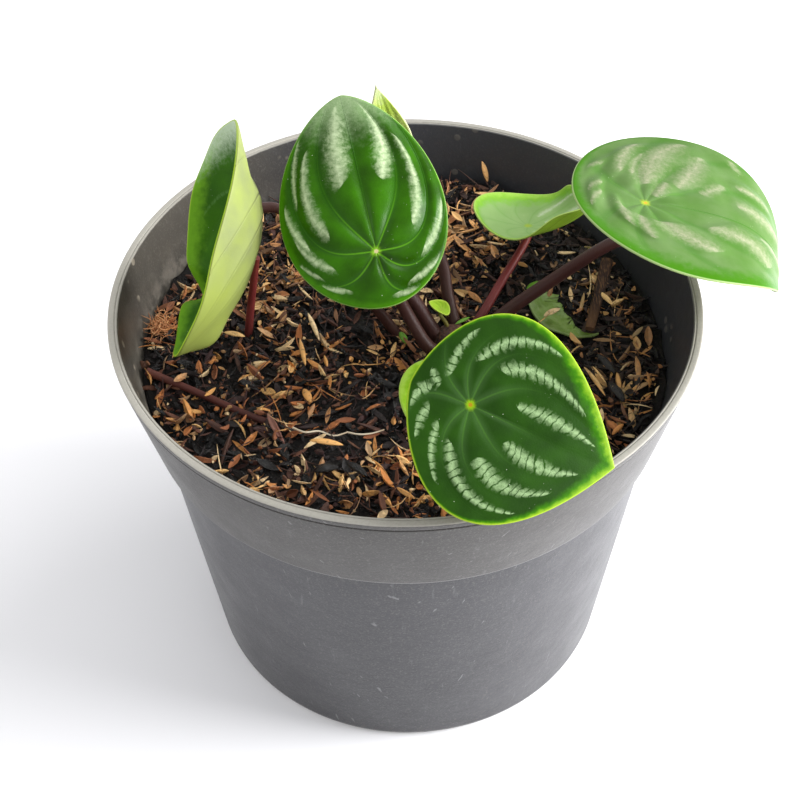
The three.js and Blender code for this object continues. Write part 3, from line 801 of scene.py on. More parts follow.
husk_tree = litter_tree("husks", HUSKS)
chip_tree = litter_tree("chips", CHIPS)
fibre_tree = litter_tree("fibres", FIBRES)
coir_tree = litter_tree("coir", COIR)
crumb_tree = litter_tree("crumbs", CRUMBS)
print("litter trees:", husk_tree.name, chip_tree.name, fibre_tree.name, coir_tree.name, crumb_tree.name)

# %% [markdown]
# Dry rice husks are straw coloured, with fine ribs along the shell, and each has aged in its own
# way, from pale straw through orange to brown. Charred husks keep the shape and are black with a
# grey shine. One function makes all kinds from a list of tones: the random number of a chip
# picks its tone. Chips at the back and at the right are painted a little paler, as painted light,
# and the bark turns to a charred grey towards the right.

# %% Litter finishes
CHARRED_GREY = srgb(48, 48, 46)


def husk_finish(name, tones, rough, relief, charring=0.0):
    """Each chip takes its tone from its random number, then gets ribs and stains of its own."""
    finish = Finish(name)
    tint = finish.field("tint")
    shade = finish.field("shade")
    colour = tones[0]
    for i, tone in enumerate(tones[1:], 1):
        start = i / len(tones)
        colour = finish.mix(finish.step(tint, start - 0.04, start + 0.04), colour, tone)
    ribs = finish.noise(0.3, 3, 0.65)
    stains = finish.step(finish.noise(1.7, 3, 0.6) + shade * 0.3, 0.62, 0.8)
    colour = finish.mix(stains * 0.55, colour, tones[-1])
    colour = finish.mix(finish.step(ribs, 0.5, 0.8) * 0.3, colour, tones[-1])
    colour = finish.mix(finish.step(shade, 0.7, 1.0) * 0.35, colour, tones[0])
    # painted light: chips towards the back and the right are made paler
    painted_light_back_right = finish.step(finish.axis("Y") + finish.axis("X") * 0.4, -30, 35)
    colour = finish.mix(painted_light_back_right * 0.17, colour, tones[0])
    charred_side = finish.step(finish.axis("X"), 10, 60)
    colour = finish.mix(charred_side * charring, colour, CHARRED_GREY)
    return finish.surface(Base_Color=colour, Roughness=rough, Normal=finish.bump(ribs, relief))


STRAW_TONES = (
    srgb(252, 220, 168), srgb(248, 200, 130), srgb(234, 172, 98), srgb(214, 142, 74),
    srgb(188, 116, 62), srgb(150, 90, 54), srgb(104, 62, 42),
)
BROWN_TONES = (
    srgb(120, 78, 56), srgb(88, 54, 42), srgb(66, 38, 36), srgb(48, 28, 28), srgb(30, 20, 20),
)
CHAR_TONES = (srgb(52, 50, 50), srgb(30, 28, 28), srgb(20, 18, 18), srgb(12, 11, 11))
straw = husk_finish("dry_husk", STRAW_TONES, 0.6, 0.3)
charred = husk_finish("charred_husk", CHAR_TONES, 0.26, 0.5)
bark = husk_finish("bark_chip", BROWN_TONES, 0.55, 0.4, 0.6)
COIR_TONES = (srgb(226, 170, 118), srgb(206, 140, 90), srgb(180, 112, 66))
coir = husk_finish("orange_coir", COIR_TONES, 0.7, 0.2)
print("litter finishes:", straw.name, charred.name, bark.name, coir.name)

# %% [markdown]
# What lies where follows the photograph: straw lies in drifts, with less of it at the right and
# in a patch at the front, and charred husks and bark are thicker at the right. A tuft of orange
# coir fibre lies at the left wall. No chip stands where the crown or the torn leaf is. A field
# called room on the bare ground says this, from 0 for no chips to 1 for as many as possible.

# %% Where the litter lies
CROWN = (17.0, 1.0)
CROWN_RADIUS = 8.6
CROWN_CLEARING = 1
TORN_LEAF_SPOT = (56.0, 14.0)
TORN_LEAF_RADIUS = 13
TORN_LEAF_END = 66
TORN_LEAF_LEAN = 0.34
LITTER_EDGE = 3.0
LEAST_STRAW = 0.12
BED_HALF = 94
BED_CELL = 2.0


def litter_bed(share):
    """The bare ground as a grid, with the share of chips that may lie at each point."""
    cells = np.arange(-BED_HALF, BED_HALF + 0.1, BED_CELL)
    rows = len(cells)
    grid = [(x, y) for y in cells for x in cells]
    points = [(x, y, ground(x, y)) for x, y in grid]
    faces = []
    for row in range(rows - 1):
        for column in range(rows - 1):
            first = row * rows + column
            faces.append((first, first + 1, first + rows + 1, first + rows))
    mesh = mesh_of("litter_bed", points, faces)
    room = []
    for x, y, z in points:
        inside = math.hypot(x, y) < inner_radius(z) - LITTER_EDGE
        clear = math.hypot(x - CROWN[0], y - CROWN[1]) > CROWN_RADIUS + CROWN_CLEARING
        room.append(share(x, y) if inside and clear else 0.0)
    add_field(mesh, "room", room)
    return mesh


def in_torn_leaf(x, y):
    """Near the torn leaf, but not past its right end."""
    near = math.hypot(x - TORN_LEAF_SPOT[0], y - TORN_LEAF_SPOT[1]) < TORN_LEAF_RADIUS
    return near and x < TORN_LEAF_END - TORN_LEAF_LEAN * y


def straw_share(x, y):
    """Straw lies in drifts, with less of it at the right and in a patch at the front."""
    if in_torn_leaf(x, y):
        return 0.0
    drift = 0.5 + 0.3 * math.sin(x / 9 + 1.3 * math.sin(y / 13)) + 0.3 * math.sin(y / 8 - x / 21 + 2)
    right_side = 1 / (1 + math.exp(-(x - 40) / 12))
    patch = math.exp(-((x + 22) ** 2 + (y + 30) ** 2) / 500)
    return max(LEAST_STRAW, min(1, drift)) * (1 - 0.45 * right_side) * (1 - 0.6 * patch)


def char_share(x, y):
    """Charred husks and bark lie everywhere, and most thickly at the right."""
    return 0.0 if in_torn_leaf(x, y) else 0.7 + 0.3 / (1 + math.exp(-(x - 30) / 15))


def coir_share(x, y):
    """Coir lies in one tuft at the left wall."""
    return math.exp(-((x + 87) ** 2 + (y - 8) ** 2) / 22) if x < -80 else 0.0


for side, x in (("left", -60), ("right", 75)):
    print("share of straw at the", side, round(straw_share(x, 0), 2))

# %% [markdown]
# The litter is laid in ten layers, from charred husks on the soil to pale straw and splinters on
# top. A layer is listed as its tree and finish, where it lies, how many chips there may be on a
# square metre, the lowest and highest place of a chip over the ground in millimetres, its tilt,
# the scale of its smallest chips and its seed.

# %% Litter
LAYERS = [
    ("charred_husks", husk_tree, charred, char_share, 90000, -0.6, 2.2, 0.6, 0.55, 11),
    ("bark_chips", chip_tree, bark, char_share, 20000, -0.4, 2.2, 0.45, 0.55, 23),
    ("brown_husks", husk_tree, bark, char_share, 30000, 0.0, 2.8, 0.6, 0.55, 31),
    ("dry_husks", husk_tree, straw, straw_share, 105000, 0.0, 3.8, 0.75, 0.7, 37),
    ("pale_splinters", fibre_tree, straw, straw_share, 26000, 0.8, 4.0, 0.5, 0.55, 51),
    ("dark_splinters", fibre_tree, bark, char_share, 30000, 0.4, 3.6, 0.5, 0.55, 67),
    ("dark_crumbs", crumb_tree, charred, char_share, 110000, -0.4, 2.0, 0.8, 0.55, 83),
    ("brown_crumbs", crumb_tree, bark, char_share, 70000, -0.2, 2.4, 0.8, 0.55, 91),
    ("straw_crumbs", crumb_tree, straw, straw_share, 90000, 0.2, 3.2, 0.8, 0.55, 97),
    ("coir_tuft", coir_tree, coir, coir_share, 2200000, 1.5, 5.0, 0.8, 0.55, 73),
]
for name, group, material, share, density, lowest, highest, tilt, smallest, seed in LAYERS:
    values = {
        "Per square metre": float(density), "Lowest": lowest * MM, "Highest": highest * MM,
        "Tilt": tilt, "Smallest": smallest, "Seed": seed, "Material": material,
    }
    mesh = grown(name, litter_bed(share), group, values)
    add_piece(name, mesh, [material])
    print(name, len(mesh.polygons), "faces")

# %% [markdown]
# A leaf is a shield: the stalk meets it at a point inside the margin, and veins fan out from
# there, turn towards the tip and run along the margin. So the mesh is laid out the same way. Its
# spokes are the veins' own lines, and rings cross them from the joint to the margin. The
# margin, the droop of the midrib, the fold, the cup and the waves of the edge are the formulas of
# the solids, so the finer blade lies where the solid one does.

# %% Blade shape
TIP_DROOP_FROM = 0.15
FOLD_SHARE = 0.25
MEAN_STEPS = 16


def flat_margin(leaf, turn):
    """Margin of the flat blade, from the stalk. Turn 0 is the base and pi is the tip."""
    along = (1 - np.cos(turn)) / 2
    widest = leaf["base_power"] / (leaf["base_power"] + leaf["tip_power"])
    peak = widest ** leaf["base_power"] * (1 - widest) ** leaf["tip_power"]
    spread = along ** leaf["base_power"] * np.abs(1 - along) ** leaf["tip_power"] / peak
    side = np.where(np.sin(turn) >= 0, 1.0, -1.0)
    across = side * leaf["width"] / 2 * spread * (1 + side * leaf["skew"])
    return (along - leaf["stalk_at"]) * leaf["length"], across


def mean_direction(angle_at):
    """Average direction of a line whose angle changes along it."""
    angles = [angle_at((i + 0.5) / MEAN_STEPS) for i in range(MEAN_STEPS)]
    ahead = sum(np.cos(angle) for angle in angles) / MEAN_STEPS
    return ahead, sum(np.sin(angle) for angle in angles) / MEAN_STEPS


def bent(leaf, x, y):
    """Where points of the flat blade go once it is drooped, folded, cupped and twisted."""
    along = x / leaf["length"]

    def droop_at(share):
        near_tip = np.maximum(share - TIP_DROOP_FROM, 0)
        return leaf["droop"] * share + leaf["tip_droop"] * near_tip**2

    forward, down = mean_direction(lambda share: droop_at(share * along))
    reach, side = np.abs(y), np.sign(y)
    cup = np.full_like(x, leaf["cup"])
    for wave_side, at, width, lift in leaf.get("waves", ()):
        cup = cup + np.where(side == wave_side, lift * np.exp(-(((along - at) / width) ** 2)), 0)

    def lean_at(share):
        distance = reach * share
        folded = leaf["fold"] * (1 - np.exp(-distance / (FOLD_SHARE * leaf["width"])))
        return folded + cup * distance / (leaf["width"] / 2)

    outward, upward = mean_direction(lean_at)
    height = reach * upward
    for dent_x, dent_y, width, lift in leaf.get("dents", ()):
        height = height + lift * np.exp(-((x - dent_x) ** 2 + (y - dent_y) ** 2) / width**2)
    twist = leaf["twist"] * along
    across = side * reach * outward * np.cos(twist) - height * np.sin(twist)
    lift = side * reach * outward * np.sin(twist) + height * np.cos(twist)
    droop = droop_at(along)
    return np.stack([x * forward + lift * np.sin(droop), across, lift * np.cos(droop) - x * down], -1)


def blade_axes(leaf):
    """Tip, side and upper face of a blade, as the columns of a turn."""
    heading, pitch, roll = (math.radians(leaf[name]) for name in ("heading", "pitch", "roll"))
    level = math.cos(pitch)
    tip = Vector((math.cos(heading) * level, math.sin(heading) * level, math.sin(pitch)))
    side = Matrix.Rotation(roll, 3, tip) @ Vector((-math.sin(heading), math.cos(heading), 0))
    return np.array([tip, side, tip.cross(side)]).T


print("blade formulas ready")

# %% [markdown]
# On a mature leaf there is a silver stripe in each space between two main veins, and short dark
# veinlets cut it into blocks. The stripes keep away from the joint, and each runs along its
# space towards the tip. A stripe is listed as its angles in the fan where it starts and ends,
# the shares of the way from the joint to the margin where that is, and its half width in
# millimetres. The functions here work out, for each point of the mesh, how far inside a stripe it
# is, how far along it, and how far from the nearest vein. The material turns those numbers into
# ragged edges, finer than the mesh.

# %% Blade fields
def fan_turn(leaf, rho, phi):
    """Turn at the margin of the line from the joint through a point of the fan."""
    sweep, power, even = leaf["fan"]
    turned_by = np.sin(phi) * (1 + even * np.cos(phi))
    return phi + math.radians(leaf["lean"]) * (1 - rho**6) + sweep * rho**power * turned_by


def apart(phi, other):
    """Signed difference of two angles."""
    return (phi - other + math.pi) % (2 * math.pi) - math.pi


def silver_field(leaf, rho, phi, per_radian, along):
    """1 on the line of a stripe, 0 at its edge and below outside, and the blocks along it."""
    field = np.full(rho.shape, -1.0)
    blocks = np.zeros(rho.shape)
    for first, last, start, end, half in leaf["stripes"]:
        share = (rho - start) / (end - start)
        line = np.radians(first + (last - first) * np.clip(share, 0, 1))
        offset = apart(phi, line) * per_radian
        width = half * np.clip(4 * share * (1 - share), 0.05, 1) ** 0.4
        inside = np.where((share > 0) & (share < 1), 1 - np.abs(offset) / width, -1)
        slant = math.copysign(0.5, math.sin(math.radians(first)))
        blocks = np.where(inside > field, (along + slant * offset) / leaf["block"], blocks)
        field = np.maximum(field, inside)
    return field, blocks


def smoothed(field, times):
    """A field on rings and spokes, averaged with its neighbours several times."""
    for _ in range(times):
        rings = np.concatenate([field[:1], field, field[-1:]])
        field = (rings[:-2] + rings[2:] + np.roll(field, 1, 1) + np.roll(field, -1, 1) + 2 * field) / 6
    return field


def vein_field(leaf, phi, pitch):
    """Angle to the nearest main vein, and the swelling between veins: 0 on one and 1 midway."""
    veins = np.round(np.radians(np.sort(np.array(leaf["veins"], float))) / pitch) * pitch
    gaps = np.abs(apart(phi[..., None], veins))
    ends = np.concatenate([veins[-1:] - 2 * math.pi, veins, veins[:1] + 2 * math.pi])
    wrapped = phi % (2 * math.pi)
    index = np.searchsorted(ends, wrapped, side="right") - 1
    share = (wrapped - ends[index]) / (ends[index + 1] - ends[index])
    return gaps.min(-1), np.sin(np.pi * share)


print("blade fields ready")

# %% [markdown]
# The blade is a closed shell of two skins and a margin. The faces join its points ring by ring.
# The underside has a finish of its own and the margin shares that of the upper skin, so every
# face is told which finish it takes.

# %% Blade faces
def blade_faces(spokes, rings):
    """Faces of both sides and the margin, and a 1 for each one of the underside."""
    one_side = 1 + rings * spokes
    faces, kinds = [], []

    def at(ring, spoke):
        return 0 if ring == 0 else 1 + (ring - 1) * spokes + spoke % spokes

    for spoke in range(spokes):
        fans = [(at(0, 0), at(1, spoke), at(1, spoke + 1))]
        for ring in range(1, rings):
            inner = at(ring, spoke), at(ring, spoke + 1)
            outer = at(ring + 1, spoke), at(ring + 1, spoke + 1)
            fans.append((inner[0], outer[0], outer[1], inner[1]))
        for fan in fans:
            faces.append(fan)
            kinds.append(0)
            faces.append(tuple(corner + one_side for corner in reversed(fan)))
            kinds.append(1)
        near, far = at(rings, spoke), at(rings, spoke + 1)
        faces.append((near, near + one_side, far + one_side, far))
        kinds.append(0)
    return faces, kinds


print("a blade of 4 spokes and 2 rings has", len(blade_faces(4, 2)[0]), "faces")

# %% [markdown]
# The middle sheet of the shell is the bent blade of the formulas. The skin swells a little between
# veins and over stripes, and dips at the joint. Near the joint and in the folds of the fan the
# spokes crowd together, so the distance to a vein is held up there, or its line would spread into
# a blot.

# %% Blade mesh
RING_POWER = 0.85
USUAL_SPREAD = 0.45
MARGIN_ROUNDING = 1.2
MARGIN_SHARE = 0.55
DIMPLE_RADIUS = 5


def blade_mesh(name, leaf, spokes, rings):
    """The two faces and the margin of a blade, with its fields."""
    rho = (np.arange(rings + 1) / rings)[:, None] ** RING_POWER * np.ones(spokes)
    phi = np.ones(rings + 1)[:, None] * (2 * math.pi * np.arange(spokes) / spokes)
    turn = fan_turn(leaf, rho, phi)
    margin_x, margin_y = flat_margin(leaf, turn)
    x, y = margin_x * rho, margin_y * rho
    angle, swell = vein_field(leaf, phi, 2 * math.pi / spokes)
    reach = np.hypot(margin_x, margin_y)
    spacing = np.hypot(*(np.roll(part, -1, 1) - np.roll(part, 1, 1) for part in (x, y))) / 2
    per_radian = spacing / (2 * math.pi / spokes)
    pace = np.hypot(*(np.diff(part, axis=0, prepend=part[:1]) for part in (x, y)))
    usual = USUAL_SPREAD * np.maximum(rho * reach, 0.2)
    held = np.maximum(per_radian, usual)
    silver, blocks = silver_field(leaf, rho, phi, held, np.cumsum(pace, 0))
    crowding = smoothed(np.clip(per_radian / usual, 0, 1), 6)
    envelope = np.clip(rho / 0.25, 0, 1) * np.clip((1 - rho) / 0.2, 0, 1) * crowding
    blister = smoothed(np.clip(silver + 0.6, 0, 1), 14)
    relief = leaf["pucker"] * (smoothed(swell, 12) - 0.5) + leaf["blister"] * (blister - 0.4)
    relief = relief * envelope
    relief = relief - leaf["dimple"] * np.exp(-((rho * reach / DIMPLE_RADIUS) ** 2))
    middle = bent(leaf, x, y)
    small = leaf["length"] * 0.004
    ahead = bent(leaf, x + small, y) - bent(leaf, x - small, y)
    aside = bent(leaf, x, y + small) - bent(leaf, x, y - small)
    normal = np.cross(ahead, aside)
    normal /= np.linalg.norm(normal, axis=-1, keepdims=True)
    thinned = np.clip((1 - rho) * reach / MARGIN_ROUNDING + MARGIN_SHARE, 0, 1)
    half = leaf["thickness"] / 2 * thinned
    axes = blade_axes(leaf)
    joint = np.array(leaf["joint"], float)
    upper = (middle + normal * (relief + half)[..., None]) @ axes.T + joint
    under = (middle + normal * (relief - half)[..., None]) @ axes.T + joint
    points = []
    for face in (upper, under):
        points.append(face[0, 0])
        points += list(face[1:].reshape(-1, 3))
    faces, kinds = blade_faces(spokes, rings)
    mesh = mesh_of(name, points, faces)
    mesh.polygons.foreach_set("material_index", kinds)
    edge = (1 - rho) * reach
    lit = 0.5 + 0.5 * np.cos(turn - math.radians(leaf["lit_turn"]))
    band = edge / (leaf["rim_thin"] + (leaf["rim_wide"] - leaf["rim_thin"]) * lit**2)
    fields = {
        "silver": silver, "blocks": blocks, "edge": edge, "vein": angle * held, "band": band,
        "joint_distance": rho * reach, "swell": swell, "along": -np.cos(turn) * rho,
    }
    for label, field in fields.items():
        one = np.concatenate([field[0, :1], field[1:].ravel()])
        add_field(mesh, label, np.concatenate([one, one]))
    return mesh


print("blade mesh ready")

# %% [markdown]
# The leaves differ in age. The front one lies nearly flat and has the clearest stripes, the
# centre one has deep channels over its veins, the right one is blistered between its veins and
# bends over at its tip, and the left one is folded along its midrib and seen partly from
# beneath. So each leaf has its own sizes and stripes in a table, and one function builds all. Two
# powers shape the margin at the base and at the tip, and stalk_at says how far along the blade
# the joint is. Droop, fold, cup and twist are in radians, the other angles in degrees. A wave of
# the edge is listed as its side, its place along the blade, its width there and its lift, and a
# dent as its two coordinates, its radius and its lift. The three numbers of a fan say how far its
# lines sweep towards the tip, how late on their way they do so, and how much more the lines near
# the base sweep. Pucker and blister are the swelling between veins and over stripes, and the band
# along the margin is widest at lit_turn.

# %% Mature leaves
MATURE = {"block": 2.6, "spokes": 240, "rings": 72, "blister": 0.0}
leaf_left = {
    "joint": (-47.7, 10.6, 184.8), "heading": -87, "pitch": -45, "roll": 69, "length": 89, "width": 70,
    "base_power": 0.37, "tip_power": 0.44, "stalk_at": 0.335, "droop": -1.65, "tip_droop": -0.38,
    "fold": 0.71, "cup": 0.33, "skew": 0.05, "twist": 0.23, "thickness": 0.9,
    "waves": (
        (1, 0.66, 0.19, -0.3), (-1, 0.66, 0.1, -0.56), (-1, 0.345, 0.068, -0.72), (-1, -0.33, 0.12, -0.66),
    ),
    "dents": ((-14.8, 9.2, 9.2, 4.2), (46.8, -2, 6.6, -2.9)),
    "fan": (1.3, 2.2, 0.4), "lean": 0, "veins": (180, 128, 86, 50, 18, 342, 310, 274, 232),
    "stripes": (
        (206, 206, 0.4, 0.9, 2.4), (252, 252, 0.42, 0.88, 2.4), (292, 292, 0.42, 0.88, 2.2),
        (326, 326, 0.5, 0.85, 1.8),
    ),
    "pucker": 0.5, "dimple": 0.5, "lit_turn": 270, "rim_thin": 1.5, "rim_wide": 6.0,
}
leaf_centre = {
    "joint": (-9, -15, 187.5), "heading": 106, "pitch": 42.4, "roll": -10, "length": 71, "width": 55,
    "base_power": 0.53, "tip_power": 0.69, "stalk_at": 0.255, "droop": 0.45, "tip_droop": -0.05,
    "fold": -0.01, "cup": -0.44, "skew": 0.055, "twist": 0.02, "thickness": 1.0,
    "fan": (1.2, 3.5, 0.4), "lean": 6.4, "veins": (172, 110, 59, 20, 350, 326, 295, 240),
    "stripes": (
        (216, 238, 0.5, 0.97, 6.4), (136, 147, 0.48, 0.95, 9.4), (277, 266, 0.5, 0.88, 7.1),
        (315, 322, 0.66, 0.95, 7.5), (340, 339, 0.75, 0.95, 6.0), (351, 350, 0.8, 0.95, 4.6),
        (78, 85, 0.46, 0.88, 6.6), (48, 45, 0.72, 0.94, 6.0), (38, 41, 0.58, 0.85, 6.0),
        (15, 19, 0.74, 0.9, 4.6), (64, 65, 0.8, 0.98, 5.4), (26, 27, 0.8, 0.93, 3.6),
    ),
    "pucker": 1.7, "dimple": 0.8, "lit_turn": 60, "rim_thin": 0.8, "rim_wide": 2.6,
}
leaf_front = {
    "joint": (18.2, -75.3, 180.1), "heading": -11.8, "pitch": -20.8, "roll": 27,
    "length": 67.5, "width": 64.3, "base_power": 0.67, "tip_power": 0.99, "stalk_at": 0.28,
    "droop": 0.29, "tip_droop": -0.03, "fold": 0.18, "cup": -0.18, "skew": -0.02, "twist": 0.03,
    "thickness": 1.0,
    "fan": (1.16, 2.75, 0.53), "lean": 6.4, "veins": (193, 101, 60, 33, 12, 352, 318, 288, 245),
    "stripes": (
        (43, 48, 0.48, 0.92, 5.4), (76, 84, 0.41, 0.88, 5.4), (126, 132, 0.34, 0.87, 4.0),
        (229, 236, 0.37, 0.87, 4.4), (268, 282, 0.44, 0.89, 5.4), (307, 309, 0.45, 0.93, 5.4),
        (329, 331, 0.52, 0.88, 4.2), (344, 345, 0.64, 0.91, 4.4), (358, 353, 0.66, 0.96, 4.8),
        (3, 6, 0.56, 0.82, 2.6), (15, 22, 0.54, 0.88, 5.0),
    ),
    "pucker": 0.3, "dimple": 0.5, "lit_turn": 160, "rim_thin": 0.55, "rim_wide": 5.0,
}
leaf_right = {
    "joint": (77.2, -0.3, 193.7), "heading": -2, "pitch": -11.8, "roll": -4, "length": 89.6, "width": 73.3,
    "base_power": 0.5, "tip_power": 0.78, "stalk_at": 0.27, "droop": 0.155, "tip_droop": 4.77,
    "fold": 0.07, "cup": -0.1, "skew": 0.07, "twist": 0.26, "thickness": 1.0,
    "fan": (0.5, 2.0, 0.3), "lean": 0, "veins": (184, 120, 85, 52, 20, 340, 318, 285, 245),
    "stripes": (
        (25, 16, 0.74, 0.88, 3.9), (1, -9, 0.6, 0.83, 3.6), (11, 1, 0.6, 0.8, 4.2),
        (34, 45, 0.5, 0.88, 7.4), (46, 53, 0.4, 0.7, 4.2), (66, 62, 0.22, 0.92, 11.2),
        (110, 80, 0.3, 0.8, 7.2), (92, 80, 0.87, 0.96, 4.2), (104, 94, 0.1, 0.3, 4.4),
        (128, 115, 0.38, 0.62, 3.9), (342, 324, 0.38, 0.58, 7.9), (315, 308, 0.32, 0.62, 5.4),
        (283, 269, 0.3, 0.68, 10.7), (234, 228, 0.42, 0.66, 8.4), (225, 239, 0.6, 0.84, 8.4),
        (142, 149, 0.55, 0.85, 7.4), (114, 118, 0.7, 0.9, 4.9), (200, 214, 0.62, 0.9, 4.7),
    ),
    "pucker": 0.55, "blister": 1.1, "dimple": 1.0, "lit_turn": 285, "rim_thin": 0.8, "rim_wide": 7.0,
}
MATURE_BLADES = {
    "leaf_left": leaf_left, "leaf_centre": leaf_centre, "leaf_front": leaf_front, "leaf_right": leaf_right,
}
print("mature leaves:", len(MATURE_BLADES))

# %% [markdown]
# The young leaves are listed in the same way. They are smaller, thinner and light green, and only
# the one at the right has stripes yet.

# %% Young leaves
YOUNG = {
    "block": 2.2, "spokes": 132, "rings": 40, "lean": 0, "dimple": 0.3, "blister": 0.0,
    "fan": (0.9, 2.75, 0.4), "veins": (180, 122, 82, 45, 15, 345, 315, 278, 238), "stripes": (),
}
leaf_back = {
    "joint": (-4.8, 50, 179), "heading": -141, "pitch": 81, "roll": -105, "length": 38, "width": 18,
    "base_power": 0.55, "tip_power": 1.2, "stalk_at": 0.28, "droop": 0.1, "tip_droop": 0.2,
    "fold": 0.45, "cup": 0.2, "skew": 0, "twist": 0, "thickness": 0.8,
    "pucker": 0.3, "lit_turn": 90, "rim_thin": 0.5, "rim_wide": 1.5,
}
leaf_young_right = {
    "joint": (44.8, 41.6, 149.3), "heading": -13, "pitch": 3, "roll": -12, "length": 52, "width": 39.5,
    "base_power": 0.51, "tip_power": 0.56, "stalk_at": 0.42, "droop": -1.82, "tip_droop": 0.05,
    "fold": 0.5, "cup": -0.26, "skew": 0, "twist": -0.04, "thickness": 0.8,
    "waves": ((1, 0.38, 0.145, 0.78), (-1, 0.46, 0.34, 1.05)),
    "stripes": (
        (208, 208, 0.2, 0.95, 3.6), (258, 258, 0.3, 0.9, 3.0), (152, 152, 0.2, 0.95, 3.6),
        (100, 100, 0.3, 0.9, 3.0),
    ),
    "pucker": 0.12, "lit_turn": 70, "rim_thin": 0.8, "rim_wide": 6.5,
}
leaf_young_front = {
    "joint": (9.6, -34, 148), "heading": -105, "pitch": -14, "roll": 6, "length": 28, "width": 23,
    "base_power": 0.5, "tip_power": 0.7, "stalk_at": 0.32, "droop": 0.5, "tip_droop": 0.2,
    "fold": 0.2, "cup": -0.1, "skew": 0, "twist": 0, "thickness": 0.8,
    "pucker": 0.3, "lit_turn": 270, "rim_thin": 0.6, "rim_wide": 4,
}
leaf_sprout = {
    "joint": (12.8, 6.8, 141.4), "heading": 165, "pitch": 22, "roll": 0, "length": 8.4, "width": 7,
    "base_power": 0.5, "tip_power": 0.8, "stalk_at": 0.35, "droop": -0.6, "tip_droop": 0,
    "fold": 0.7, "cup": 0.2, "skew": 0, "twist": 0, "thickness": 0.6,
    "pucker": 0.1, "lit_turn": 270, "rim_thin": 0.3, "rim_wide": 0.8,
}
YOUNG_BLADES = {
    "leaf_back": leaf_back, "leaf_young_right": leaf_young_right, "leaf_young_front": leaf_young_front,
    "leaf_sprout": leaf_sprout,
}
BLADES = {node: {**MATURE, **leaf} for node, leaf in MATURE_BLADES.items()}
BLADES.update({node: {**YOUNG, **leaf} for node, leaf in YOUNG_BLADES.items()})
print("young leaves:", len(YOUNG_BLADES))

# %% [markdown]
# The upper face is glossy: a green base, a lighter band along the margin where the light comes
# through, fine pale lines over the main veins, and the silver. Silver on a leaf is air under the
# skin, so it is pale grey-green, less glossy and finely grained. Dust lies on top in small dots,
# some tips look hazy, and the joint shows as a pale spot with a darker heart. What changes from
# leaf to leaf is in a table of looks: how sharp the stripes are, how deep their dark cuts, how
# much dust lies on top. The underside is pale and nearly matt, with thin dark veins near the
# joint.

# %% Leaf finishes
def upper_face(name, look):
    finish = Finish(name)
    ragged = finish.noise(1.5, 4, 0.65) - 0.5
    grain = finish.noise(0.4, 2, 0.6)
    clouds = finish.noise(11, 3)
    colour = finish.mix(finish.step(clouds, 0.2, 0.85), look["deep"], look["fresh"])
    swell = finish.field("swell")
    vein = finish.field("vein")
    away = finish.field("joint_distance")
    channel = finish.step(swell, 0.5, 0.05) * finish.step(away, look["channel_from"], 14)
    colour = finish.mix(channel * look["channel"], colour, look["channel_colour"])
    # painted light: the lime band and the glow along the margin are light shining through the blade, widest
    # on the side towards lit_turn
    band = finish.field("band") + (finish.noise(2.6, 2) - 0.5) * 0.9 + ragged * 0.4
    colour = finish.mix(finish.step(band, 1.45, 0.2), colour, look["lime"])
    colour = finish.mix(finish.step(band, 0.75, 0.0) * look["glow"], colour, look["rim"])
    veil = finish.step(vein, 2.6, 0.2) * finish.step(away, 26, 5) * look["veil"]
    colour = finish.mix(veil, colour, look["veil_colour"])
    near_joint = finish.step(away, 24, 4) * look["vein"] + look["vein"] * 0.12
    colour = finish.mix(finish.step(vein, 0.42, 0.1) * near_joint, colour, look["vein_colour"])
    uneven = finish.noise(5, 2) * 1.6 + ragged * 0.5
    wave = finish.node("ShaderNodeMath", {"operation": "FRACT"}, {0: finish.field("blocks") + uneven})
    border = finish.node("ShaderNodeMath", {"operation": "ABSOLUTE"}, {0: wave * 2 - 1})
    gap = finish.step(border, 0.68, 1.0) * look["cut"] * (finish.noise(2.4, 3) + 0.2)
    level = finish.field("silver") + ragged * 1.1 + (grain - 0.5) * 0.5 - gap
    mask = finish.step(level, 0.1, 0.1 + look["soft"]) * look["silver_share"]
    pitted = finish.step(grain + finish.noise(0.9, 2) * 0.6, 0.75, 1.0)
    colour = finish.mix(mask * (1 - pitted * look["pitted"]), colour, look["silver"])
    dots = finish.dots(1.7, 0.15) * finish.step(finish.noise(12, 2), 0.5, 0.62)
    colour = finish.mix(dots * look["dust"], colour, srgb(214, 222, 200))
    hazy = finish.step(finish.field("along") * look["haze_end"] + ragged * 0.3, 0.6, 1.0)
    haze = hazy * look["tip_haze"] * (grain + 0.5)
    colour = finish.mix(haze, colour, look["haze_colour"])
    umbo = finish.step(away + ragged * 1.8, 2.2, 0.5)
    colour = finish.mix(umbo * 0.85, colour, look["umbo"])
    heart = finish.step(away + ragged * 0.6, 0.9, 0.35)
    colour = finish.mix(heart * 0.7, colour, look["heart"])
    rim = finish.step(finish.field("edge"), 0.5, 0.1)
    colour = finish.mix(rim * 0.75, colour, look["rim"])
    cells = finish.noise(0.6, 3, 0.6)
    veinlets = finish.step(border, 0.7, 1.0) * finish.step(finish.field("silver"), 0.0, 0.4)
    groove = finish.step(vein, 0.9, 0.0) * look["groove"]
    relief = cells * 0.35 + mask * 0.2 - groove - veinlets * look["cut"] * 0.12
    rough = look["rough"] + mask * 0.1 + finish.step(finish.noise(7, 3), 0.45, 0.75) * 0.08
    normal = finish.bump(relief, look["relief"])
    values = {"Base_Color": colour, "Roughness": rough, "Normal": normal}
    return finish.surface(Specular_IOR_Level=look["gloss"], **values)


